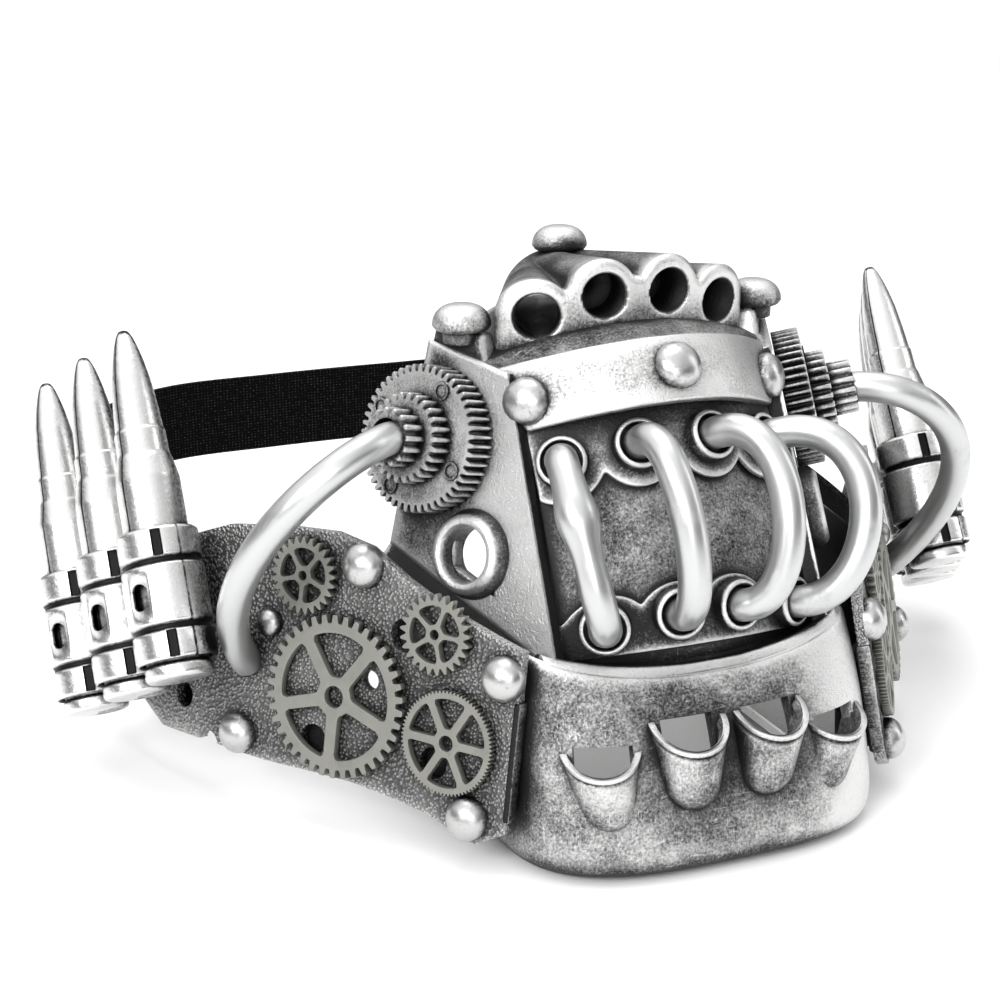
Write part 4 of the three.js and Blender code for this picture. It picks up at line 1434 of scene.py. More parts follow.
    def ledge(self, s: Array, t: Array) -> Array:
        """The trough from the cup's rim over a rounded shoulder and down to the bay's foot.

        Args:
            s: Share across.
            t: Share back to the bay.

        Returns:
            Points.
        """
        _, half, front = self.levels[-1]
        x = self.ledge_half * (2 * s - 1)
        angle = np.arcsin(np.clip(np.abs(x) / half, 0, 1) ** (1 / self.power))
        rim = self.shoulder + (front - self.shoulder) * np.cos(angle) ** self.power
        foot = self.bay.at(x, 0.05)
        rise = spline(self.ledge_shares, self.ledge_rises, t)
        drop = self.rim_drop(x) * (1 - t) * ease(-rim, -self.shoulder, 6 - self.shoulder)
        return np.stack([x, lerp(rim, foot[..., 1], t), self.levels[-1][0] + rise - drop], -1)

    def floor_sheet(self) -> Shape:
        """The flat foot: each ring of the plan drawn in towards the middle line.

        Returns:
            The foot, facing down.
        """
        z, half, front = self.levels[0]
        s = even(120)
        x, y = self.plan(s, np.array(half), np.array(front))
        share = np.linspace(1, 0, 12)[:, None]
        points = np.stack([x * share, np.broadcast_to(y, (12, 120)), np.full((12, 120), z)], -1)
        return Shape.of_grid(points).flipped()

    def flange_sheets(self) -> list[Shape]:
        """The step from the cup out to the cheek plate, and the run behind the plate.

        Returns:
            The right run and step.
        """

        def run(s: Array, t: Array) -> Array:
            """Back along the plate by s, from a level foot to a falling top by t."""
            height = lerp(self.flange_foot, lerp(*self.flange_top, s), t)
            return self.cheek.at(lerp(*self.flange_u, s), height, self.cheek.behind)

        def step(s: Array, t: Array) -> Array:
            """Straight from the cup's side to the front of the run.

            Args:
                s: Share out of the cup.
                t: Share up.

            Returns:
                Points.
            """
            edge = run(np.zeros(s.shape), t) - 0.8 * self.cheek.axes[:, 2]
            x, y = self.flange_root
            root = np.stack([np.full(s.shape, x), np.full(s.shape, y), edge[..., 2]], -1)
            return lerp(root, edge, s[..., None])

        grid = np.meshgrid(even(20), even(20))
        # Painted shade on the flange behind the plate.
        return [Shape.of_grid(part(*grid)).sooted(self.flange_soot) for part in (run, step)]

    def build(self, finishes: Finishes) -> None:
        """Makes the cup and its scoops.

        Args:
            finishes: The materials.
        """
        flanges = self.flange_sheets()
        trough = sheet(self.ledge, even(90), even(26), None, 0.4)
        trough.marks["edge"] = ease(-np.repeat(even(26), 90), -0.3, -0.1)
        sides = [*flanges, *(flange.mirrored() for flange in flanges)]
        shell = Shape.joined([self.cup_sheet(), trough, *sides])
        cup = make_object("chin_cup", shell, finishes.antique, self.wall, 0.5)
        foot = make_object("chin_foot", self.floor_sheet(), finishes.lining, self.wall)
        pipes = Shape.joined([self.scoop_sheet(*scoop) for scoop in self.scoops])
        scoops = make_object("chin_scoops", pipes, finishes.antique, self.scoop_wall, 0.45)
        settle(cup, Slot.ANTIQUE, "jaw_shell")
        settle(foot, Slot.ANTIQUE)
        settle(scoops, Slot.ANTIQUE)


@dataclass
class BarrelBlock:
    """The hood over the bridge: a lobed face with four bores and a fluted roof behind it."""

    barrel_x: tuple = (-18.2, -6.4, 6.4, 18.2)
    barrel_z: tuple = (53.7, 57.0, 57.0, 53.7)
    lobe: float = 6.5
    bore: float = 4.0
    web: float = 3.0
    border: float = 1.4
    bore_edge: float = 0.6
    bore_depth: float = 9.0
    open_bores: int = 1
    front_y: float = -63.8
    front_sweep: float = 3.4
    bridge_top: float = 50.4
    bridge_fall: float = 6.8
    bridge_half: float = 27.5
    tail_y: float = -25.5
    tail_half: float = 10.8
    tail_top: float = 58.8
    tail_foot: float = 47.5
    wall: float = 1.5
    columns: int = 190
    side_rows: int = 16
    # Below 0: the lobed face is painted lighter, as painted light.
    face_soot: float = -0.2
    # Painted shade that darkens the roof a little.
    roof_soot: float = 0.04
    # Painted shade inside the bores.
    bore_soot: float = 0.5

    def face_y(self, x: Array) -> Array:
        """The face sweeps back with the square of x."""
        return self.front_y + self.front_sweep * (x / self.barrel_x[-1]) ** 2

    def foot_z(self, x: Array) -> Array:
        """Height of the bridge under the face."""
        return self.bridge_top - self.bridge_fall * (x / self.bridge_half) ** 2

    def crest(self, x: Array) -> Array:
        """Top of the face: the higher of four circles and of a web between their shoulders.

        Args:
            x: Places across.

        Returns:
            Heights.
        """
        centres = np.array([self.barrel_x, self.barrel_z])
        reach = self.lobe**2 - (x[..., None] - centres[0]) ** 2
        lobes = np.where(reach > 0, centres[1] + np.sqrt(np.maximum(reach, 0)), 0).max(axis=-1)
        web = np.interp(x, centres[0], centres[1] + self.web, left=0, right=0)
        return np.maximum(lobes, web)

    def outline(self) -> Array:
        """The face's outline from the left foot over the lobes to the right foot, as x and z.

        Returns:
            Rows of x and z.
        """
        half = self.barrel_x[-1] + self.lobe - 1e-3
        x = half * np.sin(np.linspace(-np.pi / 2, np.pi / 2, self.columns))
        top = np.stack([x, self.crest(x)], -1)
        foot = np.array([-half, float(self.foot_z(np.array(half)))])
        left = lerp(foot, top[0], even(self.side_rows + 1)[:-1, None])
        return np.concatenate([left, top, left[::-1] * [-1, 1]])

    def roof_sheet(self) -> Shape:
        """The roof runs straight from the lobed outline to a plain arch at the tail.

        Returns:
            The roof's outer sheet.
        """
        front = self.outline()
        angle = np.linspace(-np.pi / 2, np.pi / 2, len(front))
        arch = self.tail_foot + (self.tail_top - self.tail_foot) * np.cos(angle) ** 0.9
        tail = np.stack([self.tail_half * np.sin(angle), arch], -1)
        t = even(70)[:, None]
        plan = lerp(front[None], tail[None], t[..., None])
        y = lerp(self.face_y(front[:, 0]) + self.border, self.tail_y, t)
        points = np.stack([plan[..., 0], y, plan[..., 1]], -1)
        edge = np.broadcast_to(np.exp(-t * 30), y.shape)
        # Painted shade on the roof.
        return Shape.of_grid(points, None, {"edge": edge}).sooted(self.roof_soot)

    def face_sheet(self) -> Shape:
        """The face up to its outline, rounded over at its border and at its four bores.

        Within a border's width of the outline it falls back as a quarter circle.

        Returns:
            The face's outer sheet, pierced.
        """
        outline = self.outline()
        x, top = outline[self.side_rows : -self.side_rows].T
        share = np.sin(np.linspace(0, np.pi / 2, 80))[:, None]
        z = lerp(self.foot_z(x), top, share)
        grid_x = np.broadcast_to(x, z.shape)
        points = np.stack([grid_x, self.face_y(grid_x), z], -1)
        holes = [(a, b, self.bore) for a, b in zip(self.barrel_x, self.barrel_z)]
        keep = pierce(points, np.stack([grid_x, z], -1), holes)
        plan = points[..., [0, 2]]
        far = self.gap(plan, outline)
        middles = np.stack([self.barrel_x, self.barrel_z], -1)
        near = np.abs(np.linalg.norm(plan[:, :, None] - middles, axis=-1).min(axis=-1) - self.bore)
        points[..., 1] += self.fall(far, self.border) + self.fall(near, self.bore_edge)
        worn = 0.4 * np.exp(-far / 0.6) + 0.6 * np.exp(-near / 0.4)
        # Painted light: the face is lifted lighter.
        return Shape.of_grid(points, keep, {"edge": worn}).sooted(self.face_soot)

    @staticmethod
    def gap(plan: Array, outline: Array) -> Array:
        """Distance from each point to the nearest segment of an outline.

        Args:
            plan: Points of a grid, as x and z.
            outline: The outline's points.

        Returns:
            Distances.
        """
        start, run = outline[:-1], np.diff(outline, axis=0)
        away = plan[:, :, None] - start
        share = np.clip((away * run).sum(axis=-1) / np.maximum((run**2).sum(axis=-1), 1e-9), 0, 1)
        return np.linalg.norm(away - share[..., None] * run, axis=-1).min(axis=-1)

    @staticmethod
    def fall(distance: Array, radius: float) -> Array:
        """How far a rounded border falls back: a quarter circle of a radius."""
        left = np.maximum(0, radius - distance)
        return radius - np.sqrt(np.maximum(0, radius**2 - left**2))

    def bore_tube(self, number: int) -> Shape:
        """The wall of a bore, a short pipe that faces its own axis; past the first it is blind.

        Args:
            number: Which barrel, from the left.

        Returns:
            The bore's wall.
        """
        x, z = self.barrel_x[number], self.barrel_z[number]
        ends = [(self.bore, -self.bore_edge), (self.bore, -self.bore_depth), (0.01, -self.bore_depth)]
        profile = np.array(ends[:2] if number < self.open_bores else ends)
        slope = 2 * self.front_sweep * x / self.barrel_x[-1] ** 2
        mouth = vec(x, float(self.face_y(np.array(x))), z)
        # Painted shade inside the bore.
        return turned(profile, 56).sooted(self.bore_soot).aimed(mouth, vec(slope, -1, 0))

    def build(self, finishes: Finishes) -> None:
        """Makes the hood and its bores.

        Args:
            finishes: The materials.
        """
        shell = Shape.joined([self.roof_sheet(), self.face_sheet()])
        hood = make_object("barrel_hood", shell, finishes.antique, self.wall)
        pipes = Shape.joined([self.bore_tube(number) for number in range(len(self.barrel_x))])
        bores = make_object("barrel_bores", pipes, finishes.dark, 0.8)
        settle(hood, Slot.ANTIQUE, "port_manifold")
        settle(bores, Slot.DARK)


def dome_profile(radius: float, height: float, skirt: float = 0.25) -> Array:
    """A low dome: a short upright skirt, then a quarter of an ellipse.

    Args:
        radius: Of the foot.
        height: Of the top.
        skirt: Height of the upright part.

    Returns:
        Rows of radius and height.
    """
    angle = np.linspace(0, np.pi / 2, 14)
    cap = np.stack([radius * np.cos(angle), skirt + (height - skirt) * np.sin(angle)], -1)
    return np.concatenate([[[radius * 0.2, -0.6], [radius, -0.6]], cap])


@dataclass
class BrowBand:
    """The riveted band across the brow."""

    y: Pair = (-82.0, -74.6)
    z: Pair = (42.0, 52.0)
    half: Pair = (24.5, 29.0)
    sweep: Pair = (12.0, 14.6)
    fall: Pair = (6.3, 7.4)
    crown: float = 0.7
    wall: float = 3.4
    rivet_spots: tuple = (("left", 0.045, 0.42), ("middle", 0.5, 0.5), ("right", 0.955, 0.42))
    rivet_size: Pair = (4.2, 3.0)
    # Below 0: the band is painted lighter, as painted light.
    soot: float = -0.14

    def surface(self, s: Array, t: Array) -> Array:
        """Between a lower and an upper edge, each swept back and falling towards its ends.

        Args:
            s: Share across.
            t: Share up.

        Returns:
            Points.
        """
        k = 2 * s - 1
        crown = self.crown * np.sin(np.pi * t)
        x = lerp(*self.half, t) * k
        y = lerp(*self.y, t) + lerp(*self.sweep, t) * k**2 - crown
        z = lerp(*self.z, t) - lerp(*self.fall, t) * k**2 + 0.5 * crown
        return np.stack([x, y, z], -1)

    def build(self, finishes: Finishes) -> None:
        """Makes the band and its three rivets.

        Args:
            finishes: The materials.
        """
        # Painted light: the band is lifted lighter all over.
        strip = sheet(self.surface, even(110), even(24), None, 1.3).sooted(self.soot)
        band = make_object("brow_strip", strip, finishes.antique, self.wall, 0.8)
        settle(band, Slot.ANTIQUE, "brow_band")
        dome = turned(dome_profile(*self.rivet_size), 48)
        for word, s, t in self.rivet_spots:
            at = (np.array(s), np.array(t))
            rivet = dome.aimed(self.surface(*at), surface_normals(self.surface, *at))
            piece = make_object(f"brow_rivet_{word}", rivet, finishes.rivet)
            settle(piece, Slot.BRIGHT, f"band_rivet_{word}")


@dataclass
class MushroomBolts:
    """Three bolts with short posts and mushroom caps."""

    spots: tuple = (("left", -29.6, -52.8, 50.0), ("top", 0.0, -29.5, 58.4), ("right", 29.6, -52.8, 50.0))
    post: Pair = (3.4, 0.9)
    cap: Pair = (5.3, 4.7)
    sunk: float = -1.5
    brim: float = 0.9

    def profile(self) -> Array:
        """Post, the cap's flat underside and a quarter of an ellipse over it.

        Returns:
            Rows of radius and height.
        """
        (post_r, post_h), (cap_r, cap_h) = self.post, self.cap
        post = [(0.01, self.sunk), (post_r, self.sunk), (post_r, post_h)]
        corners = [*post, (cap_r - 0.6, post_h), (cap_r, post_h + 0.8)]
        angle = np.linspace(0.1, np.pi / 2, 16)
        height = post_h + self.brim + (cap_h - self.brim) * np.sin(angle)
        cap = np.stack([cap_r * np.cos(angle) ** 0.75, height], -1)
        return np.concatenate([rounded(corners, 0.3), cap])

    def build(self, finishes: Finishes) -> None:
        """Makes the bolts.

        Args:
            finishes: The materials.
        """
        profile = self.profile()
        worn = 0.4 * ease(profile[:, 1], self.post[1] + 0.5, self.post[1] + self.cap[1])
        bolt = turned(profile, 48, None, worn)
        for word, *place in self.spots:
            piece = make_object(f"bolt_cap_{word}", bolt.shifted(np.array(place)), finishes.antique)
            settle(piece, Slot.ANTIQUE, f"bolt_{word}")


@dataclass
class TubeBay:
    """The two lobed collar plates on the bay and the four tubes between them."""

    bay: Bay
    half: float = 23.4
    thick: float = 1.2
    lobe_radius: float = 6.4
    valley: float = 0.45
    collar: Triple = (4.5, 3.6, 2.1)
    tube_radius: float = 2.9
    plates: tuple = (
        ("upper", 0.825, -0.108, 0.94, (-19.0, -6.7, 6.5, 18.6)),
        ("lower", 0.29, 0.115, 0.14, (-16.6, -4.7, 6.2, 19.0)),
    )
    bows: tuple = ((11.0, 12.0, 1.0), (17.5, 10.0, 2.2), (15.0, 10.0, 6.5), (18.0, 10.0, 8.5))
    kink: float = 0.85

    def lobes(self, x: Array, spots: Sequence[float]) -> Array:
        """How far the free edge reaches: a circle round each collar, blended into a valley.

        Args:
            x: Places across.
            spots: Places of the collars.

        Returns:
            Reach from 0 to 1.
        """
        nearest = np.abs(x[..., None] - np.array(spots)).min(axis=-1)
        reach = np.sqrt(np.maximum(0, 1 - (nearest / self.lobe_radius) ** 2))
        return (self.valley**4 + reach**4) ** (1 / 4)

    def plate_sheet(self, row: float, lobe: float, back: float, spots: Sequence[float]) -> Shape:
        """A plate that follows the bay, from its straight edge to its lobed one.

        Args:
            row: Height share of the collars.
            lobe: How far the lobes reach past the collars, as a share.
            back: Height share of the straight edge.
            spots: Places of the collars across the bay.

        Returns:
            The plate's outer sheet.
        """
        lift = SEAT + self.thick

        def surface(s: Array, t: Array) -> Array:
            """Across by s, from the lower to the upper edge by t, lifted off the bay.

            Args:
                s: Share across.
                t: Share up.

            Returns:
                Points.
            """
            x = self.half * (2 * s - 1)
            edge = row + lobe * self.lobes(x, spots)
            low, high = (edge, back) if lobe < 0 else (back, edge)
            height = lerp(low, high, t)
            share = (x / self.bay.half + 1) / 2
            return self.bay.at(x, height) + lift * surface_normals(self.bay.surface, share, height)

        return sheet(surface, even(150), even(24), None, 0.7)

    def collar_ring(self) -> Shape:
        """A collar: an upright ring with a rolled rim and a bore for the tube.

        Returns:
            The ring, on +Z.
        """
        outer, inner, height = self.collar
        top = SEAT + self.thick + height
        outside = [(outer + 0.4, 0.2), (outer, top - 1.2), (outer, top - 0.2), (outer - 0.6, top + 0.2)]
        corners = [*outside, (inner, top - 0.1), (inner, 0.2)]
        profile = rounded(corners, 0.4)
        return turned(profile, 44, None, ease(profile[:, 1], top - 0.9, top))

    def collar_spot(self, plate: int, number: int) -> tuple[Array, Array]:
        """A collar's place on the bay, and the bay's normal there."""
        row, x = self.plates[plate][1], self.plates[plate][4][number]
        return self.bay.at(x, row), self.bay.normal(x, row)

    def tube_path(self, number: int) -> Array:
        """Straight out of the upper collar, over a cubic bow, straight into the lower one.

        Args:
            number: Which tube, from the left.

        Returns:
            Points of the centre line.
        """
        upper, lower, shift = self.bows[number]
        rise = 2 * SEAT + self.thick
        (top, out), (bottom, back) = self.collar_spot(0, number), self.collar_spot(1, number)
        start, end = top + rise * out, bottom + rise * back
        a, d = start + self.collar[2] * out, end + self.collar[2] * back
        b, c = a + upper * out + vec(shift, 0, 0), d + lower * back + vec(shift, 0, 0)
        return route(np.concatenate([[start], cubic(a, b, c, d, 16), [end]]), 90)

    def tube_sheet(self, number: int) -> Shape:
        """A tube; the first one is pinched and swollen where it was kinked.

        Args:
            number: Which tube, from the left.

        Returns:
            The tube.
        """
        path = self.tube_path(number)
        share = even(len(path))
        swell = np.exp(-(((share - 0.4) / 0.085) ** 2))
        pinch = np.exp(-(((share - 0.56) / 0.08) ** 2))
        radius = self.tube_radius + (self.kink if number == 0 else 0.0) * (swell - 0.3 * pinch)
        return bar_along(path, radius, 40, vec(1, 0, 0))

    def build(self, finishes: Finishes) -> None:
        """Makes the plates with their collars, then the tubes.

        Args:
            finishes: The materials.
        """
        ring = self.collar_ring()
        for which, (word, row, lobe, back, spots) in enumerate(self.plates):
            shape = self.plate_sheet(row, lobe, back, spots)
            finish = finishes.antique if word == "upper" else finishes.dark
            plate = make_object(f"tube_plate_{word}", shape, finish, self.thick, 0.3)
            rings = [ring.aimed(*self.collar_spot(which, number)) for number in range(len(spots))]
            collars = make_object(f"tube_collars_{word}", Shape.joined(rings), finishes.antique)
            settle(plate, Slot.DARK, f"collar_plate_{word}")
            settle(collars, Slot.DARK)
        for number in range(len(self.bows)):
            tube = make_object(f"nose_tube_{number + 1}", self.tube_sheet(number), finishes.tube)
            settle(tube, Slot.TUBE, f"front_tube_{number + 1}")


def polar(radius: Array, angle: Array) -> Array:
    """Flat points from radii and angles."""
    return np.stack([radius * np.cos(angle), radius * np.sin(angle), np.zeros(radius.shape)], -1)


def gear_radius(teeth: int, tip: float, root: float, sides: int, flat: float = 2.2) -> Array:
    """Radius of a gear round its axis: a cosine of the tooth count, flattened at tips and roots.

    Args:
        teeth: Tooth count.
        tip: Radius of the tips.
        root: Radius of the roots.
        sides: Columns round the axis.
        flat: How square the teeth are.

    Returns:
        One radius for each column.
    """
    angle = np.linspace(0, 2 * np.pi, sides + 1)
    wave = np.clip(0.5 + 0.5 * flat * np.cos(teeth * angle), 0, 1)
    return root + (tip - root) * wave


@dataclass
class SideWorks:
    """Port, gear stack and side tube on each panel."""

    muzzle: Muzzle
    cheek: CheekFrame
    port: tuple[float, float, float, float] = (6.3, 4.8, 8.1, 3.3)
    port_sunk: float = -3.2
    # Below 0: the port ring is a little lighter.
    port_soot: float = -0.04
    stack_spot: Pair = (0.79, 0.585)
    gears: tuple = ((50, 13.2, 11.9, 5.2), (26, 8.0, 6.8, 3.8), (15, 5.2, 4.1, 4.4))
    dimple_ring: float = 10.0
    socket: Pair = (3.3, 3.0)
    tube_radius: float = 2.9
    tube_handles: tuple = ((57.9, -78.4, 40.1), (84.8, -62.3, 15.2))
    tube_foot: Pair = (49.8, 17.2)

    def port_ring(self) -> Shape:
        """A barrel through the panel with a thin flange and a rolled lip.

        Returns:
            The right port.
        """
        barrel, bore, flange, height = self.port
        corners = [
            (bore, self.port_sunk), (barrel, self.port_sunk), (barrel, 0.0), (flange, 0.0),
            (flange - 0.2, 0.7), (flange - 1.0, height - 0.7), (flange - 1.9, height),
            (bore + 0.5, height - 0.2), (bore, height - 1.2), (bore, self.port_sunk),
        ]
        profile = rounded(corners, 0.7)
        worn = np.exp(-((profile[:, 1] - height) / 0.7) ** 2)
        point, normal = self.muzzle.panel_spot(*self.muzzle.port)
        return turned(profile, 64, None, worn).sooted(self.port_soot).aimed(point, normal)

    def gear(self, teeth: int, tip: float, root: float, low: float, high: float, inner: float) -> Shape:
        """One thick gear: its outline carried up its axis, with the face running in to a hub.

        Args:
            teeth: Tooth count.
            tip: Radius of the tips.
            root: Radius of the roots.
            low: Height of its back.
            high: Height of its face.
            inner: Radius of the hub.

        Returns:
            The gear, on +Z.
        """
        sides = teeth * 10
        rim = gear_radius(teeth, tip, root, sides) / tip
        web = tip * 0.8
        back = [(inner, low), (web, low), (tip, low), (tip, low + 0.25)]
        face = [(tip, high - 0.3), (tip - 0.25, high), (tip * 0.86, high), (web, high), (inner, high)]
        profile = np.array(back + face)
        share = np.array([0, 0, 1, 1, 1, 1, 0, 0, 0])[:, None]
        worn = np.array([0, 0, 0.1, 0.2, 0.3, 0.7, 0.2, 0.1, 0.1], float)
        return turned(profile, sides, lerp(1.0, rim[None, :], share), worn)

    def stack(self) -> tuple[Shape, float]:
        """Three gears on one axis with a socket in the last, and the stack's height.

        Returns:
            The stack, on +Z, and its height.
        """
        shapes, low = [], 0.0
        for number, (teeth, tip, root, thick) in enumerate(self.gears):
            inner = self.socket[0] if number == len(self.gears) - 1 else 2.0
            shapes.append(self.gear(teeth, tip, root, low - (0.3 if number else 0), low + thick, inner))
            low += thick
        radius, depth = self.socket
        bore = turned(np.array([(radius, low), (radius, low - depth), (0.01, low - depth)]), 40)
        dimple = turned(np.array([(1.6, 0.0), (1.6, 0.3), (1.2, 0.3), (1.2, -0.1), (0.01, -0.1)]), 24)
        face = self.gears[0][3]
        ring = self.dimple_ring
        spots = np.radians([25, 115, 205, 295])
        dimples = [dimple.shifted(vec(ring * math.cos(a), ring * math.sin(a), face)) for a in spots]
        return Shape.joined([*shapes, bore, *dimples]), low

    def stack_place(self) -> tuple[Array, Array]:
        """Where the stack sits on the right panel, and its axis."""
        point, normal = self.muzzle.panel_spot(*self.stack_spot)
        return point + SEAT * normal, normal

    def tube(self, height: float) -> Shape:
        """From the socket over and down to the cheek plate, on a cubic curve with two handles.

        Args:
            height: The stack's height.

        Returns:
            The right tube.
        """
        point, normal = self.stack_place()
        a = point + (height - self.socket[1] + SEAT) * normal
        b, c = (np.array(handle) for handle in self.tube_handles)
        d = self.cheek.at(*self.tube_foot, self.cheek.face + SEAT)
        return bar_along(cubic(a, b, c, d, 110), self.tube_radius, 40, vec(-0.45, -0.85, 0.1))

    def build(self, finishes: Finishes) -> None:
        """Makes both sides.

        Args:
            finishes: The materials.
        """
        stack, height = self.stack()
        placed = stack.aimed(*self.stack_place())
        kinds = (
            ("panel_port", self.port_ring(), finishes.antique, Slot.ANTIQUE, "side_port"),
            ("gear_tower", placed, finishes.tower, Slot.DARK, "gear_stack"),
            ("cheek_tube", self.tube(height), finishes.tube, Slot.TUBE, "side_tube"),
        )
        for side in Side:
            for name, shape, finish, slot, node in kinds:
                piece = make_object(f"{name}_{side.word}", shape.on(side), finish)
                settle(piece, slot, f"{node}_{side.word}")


@dataclass(frozen=True)
class FlatGear:
    """Sizes of one flat gear: where it sits, its teeth and its windows."""

    name: str
    u: float
    v: float
    tip: float
    root: float
    teeth: int
    rim: float
    hub: float
    bore: float
    arms: int
    arm_width: float
    corner: float
    flat: float
    turn: float

    def sheet(self) -> Shape:
        """Two bands that meet along the arms.

        An arm of even width leaves room past half its width over the sine of the angle from its
        middle. A window runs from that, blended with the hub, out to the rim, which draws in at
        the arms. Along an arm the bands meet.

        Returns:
            The gear's face, on +Z.
        """
        step = self.arms * self.teeth
        sides = step * max(1, round(480 / step))
        angle = np.linspace(0, 2 * np.pi, sides + 1)
        pitch = 2 * np.pi / self.arms
        from_arm = np.abs((angle - math.radians(self.turn)) % pitch - 0.5 * pitch)
        beside = 0.5 * self.arm_width / np.maximum(np.sin(np.minimum(from_arm, np.pi / 2)), 1e-3)
        meet = self.rim * 0.5 ** (1 / self.corner)
        low = np.minimum((self.hub**self.corner + beside**self.corner) ** (1 / self.corner), meet)
        left = np.maximum(0, 1 - (beside / self.rim) ** self.corner)
        high = np.maximum(self.rim * left ** (1 / self.corner), meet)
        outside = gear_radius(self.teeth, self.tip, self.root, sides, self.flat)
        share = even(6)[:, None]
        inner = lerp(np.full(sides + 1, self.bore), low, share)
        outer = lerp(high, outside, share)
        return Shape.joined([Shape.of_grid(polar(band, angle)) for band in (inner, outer)]).flipped()


@dataclass
class CheekPlates:
    """The grained cheek plates with their flat gears and rivets."""

    frame: CheekFrame
    outline: tuple = (
        (-7.5, -1.4, 30.3), (-1.7, -4.7, 31.8), (8.7, -1.6, 34.9), (17.4, -0.4, 38.6), (25.2, 0.2, 42.8),
        (33.0, 0.1, 44.2), (44.0, -0.2, 43.5), (57.0, 0.1, 41.6), (72.0, -0.4, 36.0), (83.5, 5.0, 24.0),
    )
    holes: tuple = (
        (66.0, 7.2, 2.4), (58.4, -0.4, 2.5), (16.3, 28.7, 3.0),
        (22.7, 19.3, 1.8), (33.8, 6.1, 2.8), (8.1, 7.6, 2.8),
    )
    rivets: tuple = (
        ("top", 26.0, 39.4, 4.0), ("front", -4.4, 25.3, 4.0), ("chin", 0.0, -0.3, 3.9),
        ("rear", 50.6, 3.6, 3.8), ("small", 45.3, 25.5, 2.5),
    )
    gears: tuple = (
        FlatGear("wheel", 29.0, 15.2, 14.7, 13.2, 38, 11.5, 3.6, 2.0, 5, 2.3, 7.0, 3.0, 18.0),
        FlatGear("disc", 4.9, 12.1, 9.2, 8.75, 76, 7.8, 2.5, 1.4, 6, 1.4, 7.0, 1.6, 30.0),
        FlatGear("star", 9.3, 30.4, 7.1, 5.9, 25, 5.1, 1.7, 0.9, 5, 0.75, 3.2, 1.1, 0.0),
        FlatGear("pinion", 38.0, 35.6, 7.0, 5.8, 25, 5.0, 1.7, 0.9, 5, 0.75, 3.2, 1.1, 18.0),
    )
    gear_thick: float = 1.5
    rivet_rise: float = 0.84
    fold_u: Pair = (-8.0, -6.8)
    fold_v: Pair = (0.5, 21.5)
    fold_depth: Pair = (0.6, 2.4)
    fold_soot: float = 0.4

    def plate_sheet(self) -> Shape:
        """The plate on a grid that follows its lower and upper edges, pierced by its holes.

        Returns:
            The right plate's outer sheet.
        """
        rows = np.array(self.outline)
        u = np.unique(np.concatenate([np.linspace(rows[0, 0], rows[-1, 0], 190), rows[:, 0]]))
        low, high = np.interp(u, rows[:, 0], rows[:, 1]), np.interp(u, rows[:, 0], rows[:, 2])
        share = even(100)[:, None]
        v = lerp(low[None, :], high[None, :], share)
        grid_u = np.broadcast_to(u, v.shape)
        points = self.frame.at(grid_u, v, self.frame.face)
        plan = np.stack([grid_u, v], -1)
        keep = pierce(points, plan, self.holes)
        sides = np.stack([v - low, high - v, grid_u - u[0], u[-1] - grid_u])
        return Shape.of_grid(points, keep, {"edge": np.exp(-sides.min(axis=0) / 0.9)})

    def fold_strip(self, s: Array, t: Array) -> Array:
        """The fold's middle: a narrow strip along the plate's front edge."""
        return self.frame.at(lerp(*self.fold_u, s), lerp(*self.fold_v, t), self.frame.face - 0.2)

    def fold(self) -> Shape:
        """The folded rib along the plate's front edge."""
        return wall(self.fold_strip, 4, 60, *self.fold_depth, 0.3).sooted(self.fold_soot)

    def on_plate(self, shape: Shape, u: float, v: float) -> Shape:
        """A shape drawn on +Z, set on the plate's face."""
        return shape.moved(self.frame.axes, self.frame.at(u, v, self.frame.face + SEAT))

    def build(self, finishes: Finishes) -> None:
        """Makes both plates and what is on them.

        Args:
            finishes: The materials.
        """
        plate, fold = self.plate_sheet(), self.fold()
        lift = vec(0, 0, self.gear_thick)
        for side in Side:
            word = side.word
            panel = make_object(f"cheek_panel_{word}", plate.on(side), finishes.plate, self.frame.thick, 0.3)
            rib = make_object(f"cheek_fold_{word}", fold.on(side), finishes.dark, 0, 0.3)
            settle(panel, Slot.PLATE, f"cheek_plate_{word}")
            settle(rib, Slot.PLATE)
            for gear in self.gears:
                shape = self.on_plate(gear.sheet().shifted(lift), gear.u, gear.v).on(side)
                piece = make_object(f"cheek_{gear.name}_{word}", shape, finishes.gear, self.gear_thick, 0.12)
                settle(piece, Slot.GEAR, f"{gear.name}_{word}")
            for name, u, v, radius in self.rivets:
                dome = turned(dome_profile(radius, self.rivet_rise * radius), 44)
                shape = self.on_plate(dome, u, v).on(side)
                piece = make_object(f"rivet_{name}_{word}", shape, finishes.rivet)
                settle(piece, Slot.BRIGHT, f"cheek_rivet_{name}_{word}")


